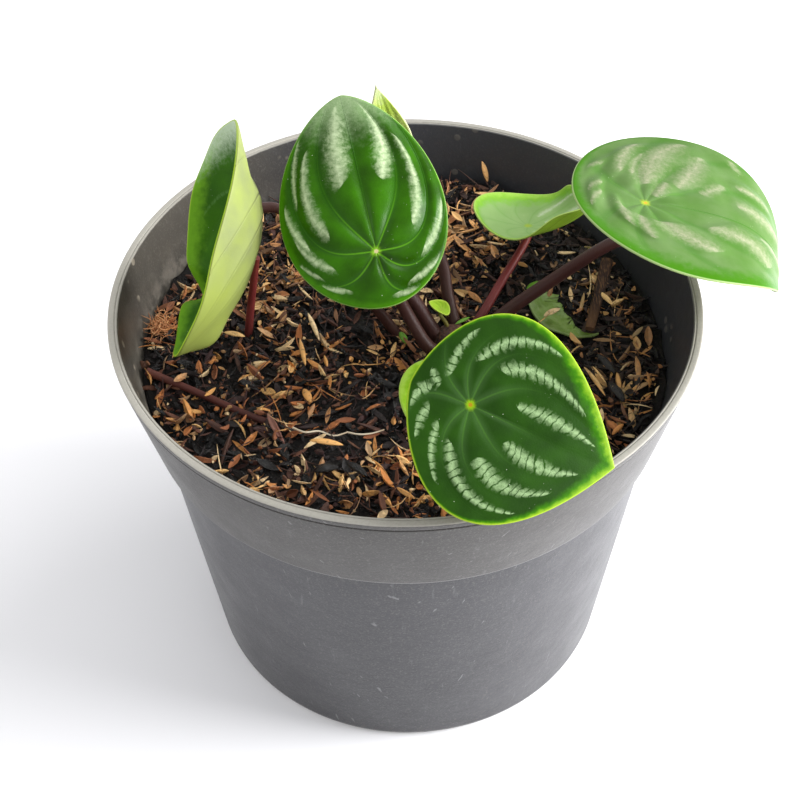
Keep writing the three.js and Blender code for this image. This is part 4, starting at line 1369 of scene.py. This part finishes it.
def under_face(name, pale, deep, red):
    finish = Finish(name)
    colour = finish.mix(finish.noise(8, 3), pale, deep)
    vein = finish.field("vein")
    near = finish.step(finish.field("joint_distance"), 30, 8)
    colour = finish.mix(finish.step(vein, 0.75, 0.2) * (near * 0.85 + 0.1), colour, red)
    colour = finish.mix(finish.step(finish.field("edge"), 1.2, 0.2) * 0.35, colour, deep)
    tip = finish.step(finish.field("along"), 0.1, 0.9)
    colour = finish.mix(tip * 0.7, colour, deep)
    colour = finish.mix(finish.step(finish.field("edge"), 0.45, 0.15) * 0.55, colour, red)
    relief = finish.bump(finish.step(vein, 0.9, 0.1) + finish.noise(0.6, 3) * 0.3, 0.12)
    return finish.surface(Base_Color=colour, Roughness=0.55, Normal=relief, Specular_IOR_Level=0.3)


print("recipes for both faces of a leaf ready")

# %% [markdown]
# The looks stand in one table. The front leaf has the look of a mature leaf as it is, and each
# other leaf names only what differs from that. Deep and fresh are the two greens of a blade, lime
# is the band along the margin and rim its very edge. Channel is the darker green over the veins
# and veil a pale mist about them. Cut is how deep the veinlets cut a stripe, soft how wide its
# edge is. Umbo and heart are the spot over the joint. The haze lies at the tip where haze_end is
# 1, and at the base where it is -1. Where channel_from is given, the channels start at a distance
# from the joint, in millimetres.

# %% Looks of the leaves
MATURE_LOOK = {
    "deep": srgb(22, 48, 8), "fresh": srgb(34, 68, 12), "lime": srgb(52, 112, 0),
    "rim": srgb(158, 184, 50), "glow": 0.45, "channel": 0.15, "channel_from": 0.0,
    "channel_colour": srgb(24, 54, 6), "vein": 0.14, "vein_colour": srgb(84, 134, 44),
    "veil": 0.08, "veil_colour": srgb(112, 150, 96), "silver": srgb(138, 164, 118),
    "silver_share": 0.9, "cut": 0.75, "soft": 1.0, "pitted": 0.45, "dust": 0.5, "tip_haze": 0.0,
    "haze_end": 1.0, "haze_colour": srgb(158, 178, 138), "umbo": srgb(118, 152, 10),
    "heart": srgb(150, 90, 26), "groove": 0.05, "rough": 0.32, "gloss": 0.05, "relief": 0.16,
}
YOUNG_HEART = {"umbo": srgb(150, 180, 60), "heart": srgb(150, 170, 60)}
LOOKS = {
    "leaf_front": {},
    "leaf_centre": {
        "deep": srgb(32, 68, 2), "fresh": srgb(50, 104, 2), "lime": srgb(62, 120, 4),
        "rim": srgb(140, 172, 92), "glow": 0.0, "channel": 0.6, "channel_colour": srgb(32, 80, 2),
        "vein": 0.6, "vein_colour": srgb(96, 162, 26), "silver": srgb(206, 222, 180),
        "silver_share": 0.88, "cut": 0.16, "soft": 1.4, "pitted": 0.25, "dust": 1.0,
        "tip_haze": 0.6, "umbo": srgb(130, 180, 40), "heart": srgb(220, 190, 160), "rough": 0.25,
        "gloss": 0.1, "relief": 0.13, "veil": 0.06, "groove": 0.5,
    },
    "leaf_left": {
        "deep": srgb(38, 80, 8), "fresh": srgb(56, 104, 12), "lime": srgb(100, 152, 30),
        "silver": srgb(104, 144, 84), "silver_share": 0.35, "soft": 0.9, "cut": 0.5,
        "tip_haze": 1.0, "haze_end": -1.0, "veil": 0.0, "haze_colour": srgb(176, 194, 164),
        "rough": 0.42, "glow": 0.0,
    },
    "leaf_right": {
        "deep": srgb(74, 110, 46), "fresh": srgb(97, 124, 74), "lime": srgb(54, 108, 0),
        "rim": srgb(170, 190, 130), "glow": 0.0, "channel": 0.6, "channel_from": 3.0,
        "channel_colour": srgb(62, 106, 34), "vein": 0.15, "vein_colour": srgb(104, 152, 56),
        "silver": srgb(212, 196, 182), "silver_share": 0.8, "cut": 0.0, "soft": 2.1,
        "pitted": 0.5, "dust": 0.4, "umbo": srgb(160, 180, 50), "heart": srgb(196, 140, 50),
        "rough": 0.28, "gloss": 0.07, "relief": 0.12,
    },
    "leaf_back": {
        "deep": srgb(150, 176, 64), "fresh": srgb(178, 196, 108), "lime": srgb(186, 204, 96),
        "rim": srgb(206, 212, 170), "channel": 0.1, "channel_colour": srgb(150, 180, 60),
        "vein": 0.1, "tip_haze": 0.7, "dust": 0.1, "rough": 0.5,
        "haze_colour": srgb(206, 212, 180), **YOUNG_HEART,
    },
    "leaf_young_right": {
        "deep": srgb(130, 164, 98), "fresh": srgb(146, 176, 114), "lime": srgb(112, 172, 22),
        "rim": srgb(176, 204, 110), "channel": 0.25, "channel_colour": srgb(116, 160, 76),
        "silver": srgb(204, 214, 188), "silver_share": 0.75, "soft": 1.2, "cut": 0.1,
        "umbo": srgb(150, 180, 60), "heart": srgb(160, 170, 70), "rough": 0.42,
    },
    "leaf_sprout": {
        "deep": srgb(150, 190, 40), "fresh": srgb(166, 202, 56), "lime": srgb(172, 206, 60),
        "rim": srgb(190, 214, 90), "channel": 0.1, "channel_colour": srgb(130, 172, 30),
        "silver_share": 0.0, "dust": 0.0, "rough": 0.45, **YOUNG_HEART,
    },
}
YOUNG_LOOK = {
    "deep": srgb(92, 140, 20), "fresh": srgb(112, 158, 26), "lime": srgb(140, 186, 40),
    "rim": srgb(176, 206, 100), "channel": 0.2, "channel_colour": srgb(84, 130, 16),
    "silver_share": 0.0, "dust": 0.2, "rough": 0.42, **YOUNG_HEART,
}
finishes = {}
for node, look in LOOKS.items():
    finishes[node] = upper_face(node + "_upper", {**MATURE_LOOK, **look})
young_upper = upper_face("young_leaf_upper", {**MATURE_LOOK, **YOUNG_LOOK})
UNDER_TONES = (srgb(115, 122, 88), srgb(146, 160, 70), srgb(64, 66, 28))
YOUNG_UNDER_TONES = (srgb(138, 172, 48), srgb(118, 154, 34), srgb(106, 108, 36))
pale_under = under_face("leaf_underside", *UNDER_TONES)
young_under = under_face("young_underside", *YOUNG_UNDER_TONES)
print("finishes of upper faces:", len(finishes) + 1, "of undersides: 2")

# %% [markdown]
# Now each blade is made from its table. A new list of materials resets the numbers that say
# which face takes which, so those numbers are kept aside and put back afterwards.

# %% Make the blades
for node, leaf in BLADES.items():
    mature = node in MATURE_BLADES
    mesh = blade_mesh(node + "_blade", leaf, leaf["spokes"], leaf["rings"])
    materials = [finishes.get(node, young_upper), pale_under if mature else young_under]
    indices = [polygon.material_index for polygon in mesh.polygons]
    add_piece(node + "_blade", mesh, materials, [node])
    mesh.polygons.foreach_set("material_index", indices)
    print(node, len(mesh.polygons), "faces")

# %% [markdown]
# A stalk is a tapered, slightly bent rod, and there are fourteen rods in all: eight stalks, two
# stubs, two dry things in the litter and a root in two lengths. The path of a rod is a
# centripetal curve, as in the solids. It passes through every point that it is given and doesn't
# swing out between points that lie close together.

# %% Paths
PARTS_BETWEEN_POINTS = 24
PATH_STEPS = 64


def smooth_path(points, steps=PATH_STEPS):
    """Points at even distances on the centripetal curve through the given ones."""
    given = [np.array(point, float) for point in points]
    line = [2 * given[0] - given[1], *given, 2 * given[-1] - given[-2]]
    dense = []
    for a, b, c, d in zip(line, line[1:], line[2:], line[3:]):
        ta, tb, tc = (math.sqrt(np.linalg.norm(q - p)) for p, q in ((a, b), (b, c), (c, d)))
        start = (b - a) / ta - (c - a) / (ta + tb) + (c - b) / tb
        end = (c - b) / tb - (d - b) / (tb + tc) + (d - c) / tc
        start, end = start * tb, end * tb
        for s in np.linspace(0, 1, PARTS_BETWEEN_POINTS, endpoint=False):
            dense.append(
                (2 * s**3 - 3 * s**2 + 1) * b + (s**3 - 2 * s**2 + s) * start
                + (3 * s**2 - 2 * s**3) * c + (s**3 - s**2) * end
            )
    dense.append(given[-1])
    dense = np.array(dense)
    gone = np.concatenate([[0], np.cumsum(np.linalg.norm(np.diff(dense, axis=0), axis=1))])
    even = np.linspace(0, gone[-1], steps + 1)
    return np.stack([np.interp(even, gone, dense[:, i]) for i in range(3)], -1)


print("a path through 3 points has", len(smooth_path([(0, 0, 0), (1, 0, 2), (0, 0, 4)])), "points")

# %% [markdown]
# A rod on a path is a rule, so one Geometry Nodes tree makes them all: it takes a line of
# points, sweeps a circle along it, and lets the radius run from the foot to the top, with a
# swelling at each end where real stalks thicken. It also stores the share of the way from foot
# to top, for the finish to read.

# %% Stalk tree
FOOT_SWELLING_POWER = 12.0
TOP_SWELLING_POWER = 16.0


def stalk_tree():
    tree = Tree("stalk", {
        "Foot radius": ("NodeSocketFloat", 0.002), "Top radius": ("NodeSocketFloat", 0.0015),
        "Foot swelling": ("NodeSocketFloat", 0.2), "Top swelling": ("NodeSocketFloat", 0.2),
        "Sides": ("NodeSocketInt", 18), "Material": ("NodeSocketMaterial", None),
    })
    line = tree.node("GeometryNodeMeshToCurve", inputs={"Mesh": tree.given("Geometry")})
    share = tree.node("GeometryNodeSplineParameter")
    ends = {"To Min": tree.given("Foot radius"), "To Max": tree.given("Top radius")}
    straight = tree.node("ShaderNodeMapRange", inputs={"Value": share, **ends})
    at_foot = (1.0 - share) ** FOOT_SWELLING_POWER * tree.given("Foot swelling")
    at_top = share ** TOP_SWELLING_POWER * tree.given("Top swelling")
    radius = straight * (at_top + (at_foot + 1.0))
    sides = {"Resolution": tree.given("Sides"), "Radius": 1.0}
    circle = tree.node("GeometryNodeCurvePrimitiveCircle", inputs=sides)
    stored = {"Geometry": line, "Name": "share", "Value": share}
    marked = tree.node("GeometryNodeStoreNamedAttribute", {"domain": "POINT"}, stored)
    bar = {"Curve": marked, "Profile Curve": circle, "Scale": radius, "Fill Caps": True}
    swept = tree.node("GeometryNodeCurveToMesh", inputs=bar)
    return tree.finished(swept, tree.given("Material"))


rod_tree = stalk_tree()
print("rod tree:", len(rod_tree.nodes), "nodes")

# %% [markdown]
# One function makes a rod from its path, radii and finish. A strip of bark is a rod too, but a
# flat one: its points are then brought closer to the height of the path beside them.

# %% Rods
ROD_SIDES = 18
ROD_SHARP_ABOVE = 50
STALK_SWELLING = (0.15, 0.2)


def rod(
    name, points, foot, top, material,
    replaces=(), swelling=STALK_SWELLING, flatness=1.0, steps=PATH_STEPS,
):
    """A rod along a path in millimetres, with its radius at the foot and at the top."""
    path = smooth_path(points, steps)
    line = bpy.data.meshes.new(name + "_line")
    line.from_pydata((path * MM).tolist(), [(i, i + 1) for i in range(steps)], [])
    values = {
        "Foot radius": foot * MM, "Top radius": top * MM, "Foot swelling": swelling[0],
        "Top swelling": swelling[1], "Sides": ROD_SIDES, "Material": material,
    }
    mesh = grown(name, line, rod_tree, values)
    if flatness != 1.0:
        for vertex in mesh.vertices:
            spot = np.array(vertex.co) / MM
            nearest = path[np.argmin(np.hypot(*(path[:, :2] - spot[:2]).T))]
            vertex.co.z = (nearest[2] + (spot[2] - nearest[2]) * flatness) * MM
    shade_smooth(mesh, ROD_SHARP_ABOVE)
    return add_piece(name, mesh, [material], replaces)


print("rods have", ROD_SIDES, "sides")

# %% [markdown]
# The stalks are a dark maroon with green showing through, lighter and redder where they are
# young, and they have fine lines along them and a few pale marks. A finish has a colour for the
# foot, the middle and the top. The same finish with other colours does for the dry rods in the
# litter and for the white root.

# %% Stalk finishes
def stalk_finish(name, foot, middle, top, rough=0.42, relief=0.15, grain=(1, 1, 8)):
    finish = Finish(name)
    share = finish.field("share")
    colour = finish.mix(finish.step(share, 0.0, 0.45), foot, middle)
    colour = finish.mix(finish.step(share, 0.55, 1.0), colour, top)
    flecks = finish.step(finish.noise(0.7, 3, 0.7), 0.58, 0.72)
    colour = finish.mix(flecks * 0.35, colour, top)
    lines = finish.noise(0.5, 3, 0.6, stretch=grain)
    colour = finish.mix(finish.step(lines, 0.5, 0.62) * relief, colour, top)
    ridges = finish.bump(lines, relief)
    return finish.surface(Base_Color=colour, Roughness=rough, Normal=ridges, Specular_IOR_Level=0.3)


maroon = stalk_finish("maroon_stalk", srgb(62, 40, 34), srgb(70, 42, 40), srgb(80, 48, 44))
red = stalk_finish("red_stalk", srgb(84, 38, 34), srgb(122, 48, 48), srgb(136, 60, 54))
young_green = stalk_finish("young_stalk", srgb(96, 84, 40), srgb(118, 110, 50), srgb(140, 150, 60))
dry_rod = stalk_finish("dry_stalk", srgb(112, 66, 56), srgb(92, 50, 44), srgb(70, 38, 34), 0.55)
ROOT_TONES = (srgb(206, 190, 166), srgb(222, 210, 188), srgb(196, 176, 148))
pale_root = stalk_finish("pale_root", *ROOT_TONES, 0.6)
BARK_TONES = (srgb(60, 40, 31), srgb(44, 28, 23), srgb(104, 74, 52))
bark_rod = stalk_finish("bark_rod", *BARK_TONES, 0.75, 0.9, (1, 9, 1))
print("rod finishes:", maroon.name, red.name, young_green.name, dry_rod.name, pale_root.name, bark_rod.name)

# %% [markdown]
# A stalk is listed as its radius at the foot and at the top, how far below the joint it turns
# towards the blade, and the points of its path. It comes up square to the blade and ends just
# below its underside. Two stubs have lost their leaves and end in the air.

# %% Stalks
STALKS = {
    "stalk_left": (1.9, 1.6, 6, [(-0.5, 6, 126.5), (-8.7, 5, 142), (-21, 8.3, 159.5), (-34, 11.8, 176.5)]),
    "stalk_centre": (2.3, 1.8, 12, [(12, -4, 130.5), (7.6, -5, 135.5), (0, 0, 148), (-6, 0.6, 164)]),
    "stalk_front": (2.2, 1.8, 12, [(18, -5.5, 130.5), (19, -20, 147), (17, -48, 162)]),
    "stalk_right": (2.4, 2.0, 12, [(23.2, 1.5, 130.5), (33.2, 6, 138.5), (51.3, 7, 155), (66, 2, 173)]),
    "stalk_back": (2.2, 1.4, 6, [
        (18, 7, 130.5), (15.2, 14.2, 141), (13.3, 22, 150), (5, 43, 160), (-3, 56, 170),
    ]),
    "stalk_young_right": (1.7, 1.4, 4, [(22, 6.2, 130.5), (26.5, 10.7, 134), (33.9, 21.7, 139.5)]),
    "stalk_young_front": (1.4, 1.2, 5, [(15, -12.5, 127), (12, -22, 137)]),
    "stalk_sprout": (0.8, 0.6, 2, [(15.2, 4.5, 132), (14.4, 5.2, 136)]),
}
YOUNG_STALKS = {"stalk_young_right": red, "stalk_young_front": young_green, "stalk_sprout": young_green}
BELOW_BLADE = 0.3
for node, (foot, top, approach, points) in STALKS.items():
    leaf = BLADES[node.replace("stalk", "leaf")]
    joint, normal = np.array(leaf["joint"], float), blade_axes(leaf)[:, 2]
    ends = [joint - normal * approach, joint - normal * (leaf["thickness"] / 2 + BELOW_BLADE)]
    rod(node + "_rod", [*points, *ends], foot, top, YOUNG_STALKS.get(node, maroon), [node])
STUBS = {
    "stub_centre": (2.8, 2.5, [(11.2, 3.2, 130.5), (7.5, 4.6, 138), (2.8, 7, 146), (-6, 10, 157)]),
    "stub_left": (1.5, 1.2, [(-55.8, 6.2, 126.5), (-53.8, 8.4, 141), (-49.8, 8.7, 165)]),
}
STUB_SWELLING = (0.15, 0.05)
for node, (foot, top, points) in STUBS.items():
    finish = red if node == "stub_left" else maroon
    rod(node + "_rod", points, foot, top, finish, [node], STUB_SWELLING)
print("stalks:", len(STALKS), "stubs:", len(STUBS))

# %% [markdown]
# Most stalks leave a short thick root stump, the crown. It is a turned shape with lumps from a
# few waves, brown and scaly, and it goes down into the soil.

# %% Crown
CROWN_TOP = 136.0
CROWN_FOOT = 108.0
CROWN_SIDES = 72
CROWN_LUMPS = 0.07


def crown_mesh():
    outline = [(0, CROWN_FOOT), (5.5, CROWN_FOOT), (8.2, CROWN_FOOT + 4), (CROWN_RADIUS, 122)]
    outline += [(8.4, 130), (7.4, 133.4), (5.4, 135.3), (2.6, CROWN_TOP), (0, CROWN_TOP)]
    points, faces = turned(np.array(outline, float), CROWN_SIDES)
    points = np.array(points, float)
    turn = np.arctan2(points[:, 1], points[:, 0])
    waves = np.sin(5 * turn + points[:, 2] * 0.5) * np.sin(3 * turn + 1)
    lumps = 1 - CROWN_LUMPS + CROWN_LUMPS * waves
    points[:, :2] *= lumps[:, None]
    return mesh_of("crown", points + np.array([*CROWN, 0]), faces)


def crown_skin():
    finish = Finish("crown_skin")
    scales = finish.noise(2.4, 4, 0.65)
    colour = finish.mix(finish.step(scales, 0.4, 0.65), srgb(48, 32, 26), srgb(104, 66, 48))
    return finish.surface(Base_Color=colour, Roughness=0.7, Normal=finish.bump(scales, 1.2))


crown = add_piece("crown_stump", crown_mesh(), [crown_skin()], ["crown"])
print("crown:", len(crown.data.polygons), "faces")

# %% [markdown]
# Four dry things lie on the soil: a stalk that fell off, a papery sheath, a strip of bark and the
# rim of a leaf that tore. The stalk and the strip are rods. The sheath is a small blade, long and
# narrow and folded along its middle, with a finish like brown paper.

# %% Fallen stalk, bark and sheath
fallen = [(-88.2, -14.2, 134.4), (-70, -24, 133.6), (-55.7, -32, 132.8), (-47.2, -36.2, 132.2)]
rod("fallen_stalk_rod", fallen, 1.35, 1.15, dry_rod, ["fallen_stalk"], (0.1, 0.1))
strip = [(74.5, 40, 133.7), (70.3, 25, 133.5), (64.6, 4.5, 133.2)]
rod("bark_strip_rod", strip, 2.3, 1.7, bark_rod, ["bark_strip"], (0, 0), 0.62)
sheath = {
    "joint": (-44.2, -39.5, 134.6), "heading": -61, "pitch": -17, "roll": 20, "length": 15, "width": 2.3,
    "base_power": 0.9, "tip_power": 1.7, "stalk_at": 0.3, "droop": 0.2, "tip_droop": 0,
    "fold": 0.4, "cup": 0.3, "skew": 0, "twist": 0.3, "thickness": 0.6, "lean": 0,
    "veins": (180, 90, 0, 270), "stripes": (), "block": 1, "pucker": 0, "blister": 0, "dimple": 0,
    "lit_turn": 0, "rim_thin": 1, "rim_wide": 1, "fan": (0.5, 2, 0.3),
}
SHEATH_SPOKES = 40
SHEATH_RINGS = 16


def paper():
    finish = Finish("papery_sheath")
    lines = finish.noise(0.8, 3, 0.6)
    colour = finish.mix(lines, srgb(112, 70, 60), srgb(150, 104, 88))
    colour = finish.mix(finish.step(finish.noise(2.5, 3), 0.55, 0.7) * 0.5, colour, srgb(120, 66, 48))
    return finish.surface(Base_Color=colour, Roughness=0.6, Normal=finish.bump(lines, 0.3))


sheath_mesh = blade_mesh("sheath", sheath, SHEATH_SPOKES, SHEATH_RINGS)
add_piece("fallen_sheath_blade", sheath_mesh, [paper()], ["fallen_sheath"])
print("sheath:", len(sheath_mesh.polygons), "faces")

# %% [markdown]
# The torn leaf is a band between its round outer edge and its ragged inner one, so it is meshed
# as a ladder from one edge to the other, with an upper and a lower face and a rim that joins
# them. It lies just over the soil, curls up away from its middle and gets thinner from the outer
# edge inwards.

# %% Torn leaf shape
OUTER_EDGE = [(47.6, 29), (44.4, 26), (45.2, 16), (49.8, 8), (56.6, 4), (62.6, 2.6), (68, 4.6)]
TORN_EDGE = [(56, 26), (55, 23.2), (56.6, 21.4), (56.8, 17), (59.2, 14.4), (60.2, 9.8), (62.6, 6.6)]
TORN_REST = (56.0, 13.0)
TORN_ABOVE = 1.6
TORN_THICK = 1.0
TORN_RAGGED = 0.16
TORN_SEED = 8
TORN_LONG = 90
TORN_WIDE = 18
CURL_CENTRE = (62.6, 19.0)
CURL_FROM = 9
CURL_WIDTH = 11
CURL_HEIGHT = 3


def torn_height(x, y):
    far = np.hypot(x - CURL_CENTRE[0], y - CURL_CENTRE[1])
    curl = CURL_HEIGHT * np.maximum((far - CURL_FROM) / CURL_WIDTH, 0) ** 2
    return ground(*TORN_REST) + TORN_ABOVE + curl


def torn_faces(long, wide):
    """Faces of a ladder of cells, above and below, and of the rim that joins them."""
    across = wide + 1
    count = (long + 1) * across
    faces = []
    for i in range(long):
        for j in range(wide):
            a = i * across + j
            faces.append((a, a + 1, a + across + 1, a + across))
            faces.append(tuple(corner + count for corner in (a + across, a + across + 1, a + 1, a)))
    rows = [i * across for i in range(long + 1)]
    ring = rows + [rows[-1] + j for j in range(1, wide + 1)]
    ring += [row + wide for row in reversed(rows[:-1])] + list(range(wide - 1, 0, -1))
    for a, b in zip(ring, ring[1:] + ring[:1]):
        faces.append((a, b, b + count, a + count))
    return faces


def torn_mesh():
    outer = smooth_path([(x, y, 0) for x, y in OUTER_EDGE], TORN_LONG)[:, :2]
    corners = np.array(TORN_EDGE, float)
    gone = np.concatenate([[0], np.cumsum(np.hypot(*np.diff(corners, axis=0).T))])
    even = np.linspace(0, gone[-1], TORN_LONG + 1)
    torn = np.stack([np.interp(even, gone, corners[:, i]) for i in range(2)], -1)
    rng = np.random.default_rng(TORN_SEED)
    torn[1:-1] += rng.normal(0, TORN_RAGGED, (TORN_LONG - 1, 2))
    share = np.linspace(0, 1, TORN_WIDE + 1)[None, :, None]
    flat = outer[:, None] * (1 - share) + torn[:, None] * share
    height = torn_height(flat[..., 0], flat[..., 1])
    ripple = 0.25 * np.sin(flat[..., 0] * 0.9 + flat[..., 1] * 0.5)
    away = share[..., 0] * np.linalg.norm(outer[:, None] - torn[:, None], axis=-1)
    thick = TORN_THICK / 2 * (0.35 + 0.65 * np.clip(1.6 - away, 0, 1))
    faces_up = np.concatenate([flat, (height + ripple + thick)[..., None]], -1).reshape(-1, 3)
    faces_down = np.concatenate([flat, (height + ripple - thick)[..., None]], -1).reshape(-1, 3)
    points = np.concatenate([faces_up, faces_down])
    mesh = mesh_of("torn_leaf", points, torn_faces(TORN_LONG, TORN_WIDE))
    add_field(mesh, "edge", np.concatenate([away.ravel(), away.ravel()]))
    return mesh


print("torn leaf lies at", round(ground(*TORN_REST) + TORN_ABOVE, 1), "mm")

# %% [markdown]
# The torn leaf is still green, but paler in patches and along its outer edge.

# %% Torn leaf
def torn_green():
    finish = Finish("torn_leaf_skin")
    clouds = finish.noise(5, 4, 0.6)
    colour = finish.mix(finish.step(clouds, 0.4, 0.6), srgb(108, 140, 50), srgb(130, 158, 80))
    patches = finish.step(finish.noise(3.2, 3, 0.6, stretch=(1, 2, 1)), 0.52, 0.62)
    colour = finish.mix(patches * 0.4, colour, srgb(146, 166, 116))
    rim = finish.step(finish.field("edge"), 1.2, 0.5)
    colour = finish.mix(rim * 0.5, colour, srgb(150, 172, 116))
    relief = finish.noise(0.9, 3)
    return finish.surface(Base_Color=colour, Roughness=0.45, Normal=finish.bump(relief, 0.3))


torn_leaf = add_piece("torn_leaf_band", torn_mesh(), [torn_green()], ["torn_leaf"])
print("torn leaf:", len(torn_leaf.data.polygons), "faces")

# %% [markdown]
# Last come the few small things that catch the eye in the photograph. The first is a white root
# in front of the middle. It is a thin rod in two lengths, each listed with its radius at the foot.

# %% Roots
ROOTS = {
    "white_root_a": (0.36, [
        (-37.6, -41.2, 134.4), (-33.5, -43.8, 134.9), (-29, -43.0, 134.5), (-24, -44.8, 134.1),
        (-19.5, -43.4, 134.2),
    ]),
    "white_root_b": (0.32, [
        (-19.8, -43.4, 134.2), (-16, -44.6, 134.4), (-12, -44.2, 134.2), (-7.6, -42.2, 133.8),
    ]),
}
ROOT_TAPER = 0.7
ROOT_STEPS = 16
for name, (radius, points) in ROOTS.items():
    thin = radius * ROOT_TAPER
    rod(name, points, radius, thin, pale_root, (), (0, 0), 1.0, ROOT_STEPS)
print("roots:", len(ROOTS))

# %% [markdown]
# Some single husks, green scraps and charred lumps lie where the photograph shows them: on the
# torn leaf, upright at the back wall, in front of the fallen stalk. Each is a closed spindle, and
# one function makes a mesh of all of a kind.

# %% Spindles between two points
BIT_RINGS = 12
BIT_SIDES = 8
BIT_SHADE = 0.4


def bits_mesh(name, table):
    """Closed spindles from (first end, last end, width, depth, tint), in millimetres."""
    points, faces, tints = [], [], []

    def at(ring, side):
        return start + 1 + (ring - 1) * BIT_SIDES + side % BIT_SIDES

    for first, last, width, depth, tint in table:
        first, last = np.array(first, float), np.array(last, float)
        along = (last - first) / np.linalg.norm(last - first)
        aside = np.cross((0, 0, 1), along)
        aside /= np.linalg.norm(aside)
        above = np.cross(along, aside)
        start = len(points)
        points.append(first)
        for ring in range(1, BIT_RINGS):
            share = ring / BIT_RINGS
            girth = math.sin(math.pi * share) ** 0.7 / 2
            centre = first + (last - first) * share + above * (0.9 * girth * depth)
            for side in range(BIT_SIDES):
                turn = 2 * math.pi * side / BIT_SIDES
                away = aside * width * math.cos(turn) + above * depth * math.sin(turn)
                points.append(centre + girth * away)
        points.append(last)
        end = len(points) - 1
        for side in range(BIT_SIDES):
            faces.append((start, at(1, side + 1), at(1, side)))
            faces.append((end, at(BIT_RINGS - 1, side), at(BIT_RINGS - 1, side + 1)))
            for ring in range(1, BIT_RINGS - 1):
                near, far = (at(ring, side), at(ring, side + 1)), (at(ring + 1, side + 1), at(ring + 1, side))
                faces.append((*near, *far))
        tints += [tint] * (end - start + 1)
    mesh = mesh_of(name, points, faces)
    add_field(mesh, "tint", tints)
    add_field(mesh, "shade", [BIT_SHADE] * len(points))
    return mesh


print("a bit has", BIT_SIDES, "sides")

# %% [markdown]
# A bit is listed as its two ends, its width, its depth and the number that picks its tone.

# %% Single bits
PALE_BITS = [
    ((48.7, 9.8, 134.6), (55.1, 14.3, 134.2), 2.6, 0.9, 0.1),
    ((60.6, -14.1, 133.4), (66.3, -25.5, 133.2), 1.3, 1.0, 0.2),
    ((61.8, -16.7, 133.0), (66.8, -28.0, 132.9), 1.1, 0.9, 0.3),
    ((63.6, -14.6, 134.0), (67.5, -23.2, 133.8), 0.9, 0.8, 0.2),
    ((30.6, 87.0, 144.0), (32.8, 82.6, 137.0), 2.2, 0.9, 0.35),
    ((69.6, 23.0, 134.0), (73.9, 15.9, 133.6), 2.2, 1.0, 0.2),
    ((-36.8, 0.3, 135.0), (-34.3, -13.2, 134.8), 1.8, 1.2, 0.3),
    ((-63.4, 3.3, 135.6), (-55.7, 1.6, 135.0), 2.4, 1.0, 0.2),
    ((-34.6, -24.0, 135.0), (-32.0, -30.5, 134.8), 2.8, 1.1, 0.35),
    ((-32.1, -47.8, 135.4), (-20.8, -49.6, 134.8), 2.6, 1.2, 0.3),
    ((-34.3, 12.7, 135.6), (-29.8, -1.0, 134.8), 1.8, 1.2, 0.1),
    ((29.2, 67.7, 135.6), (36.6, 63.2, 135.6), 2.4, 1.0, 0.3),
    ((65.7, -39.6, 133.6), (69.4, -45.0, 133.4), 2.6, 1.6, 0.6),
    ((66.8, -46.0, 133.4), (71.2, -41.4, 133.8), 2.0, 1.4, 0.5),
]
GREEN_BITS = [
    ((-1.9, 2.9, 135.0), (0.4, -3.2, 134.6), 2.6, 0.9, 0.5),
    ((17.4, 5.3, 135.6), (22.9, 9.4, 135.2), 1.6, 0.7, 0.5),
    ((43.8, 25.4, 133.6), (48.5, 29.7, 133.4), 1.8, 0.7, 0.5),
]
CHAR_BITS = [
    ((68.4, -21.8, 133.4), (72.7, -31.3, 133.4), 3.4, 1.8, 0.1),
    ((65.7, -8.0, 133.4), (71.0, -18.0, 133.2), 3.0, 1.8, 0.2),
    ((-30.0, -60.0, 133.6), (-22.0, -58.0, 133.4), 3.6, 2.4, 0.6),
    ((-20.0, -56.0, 133.6), (-13.0, -62.0, 133.2), 3.0, 2.2, 0.8),
]
GREEN_TONES = (srgb(120, 176, 40), srgb(96, 150, 30), srgb(70, 120, 24))
BITS = {
    "single_husks": (PALE_BITS, straw),
    "green_scraps": (GREEN_BITS, husk_finish("green_scrap", GREEN_TONES, 0.5, 0.2)),
    "charred_lumps": (CHAR_BITS, charred),
}
for name, (table, material) in BITS.items():
    add_piece(name, bits_mesh(name, table), [material])
    print(name, len(table))
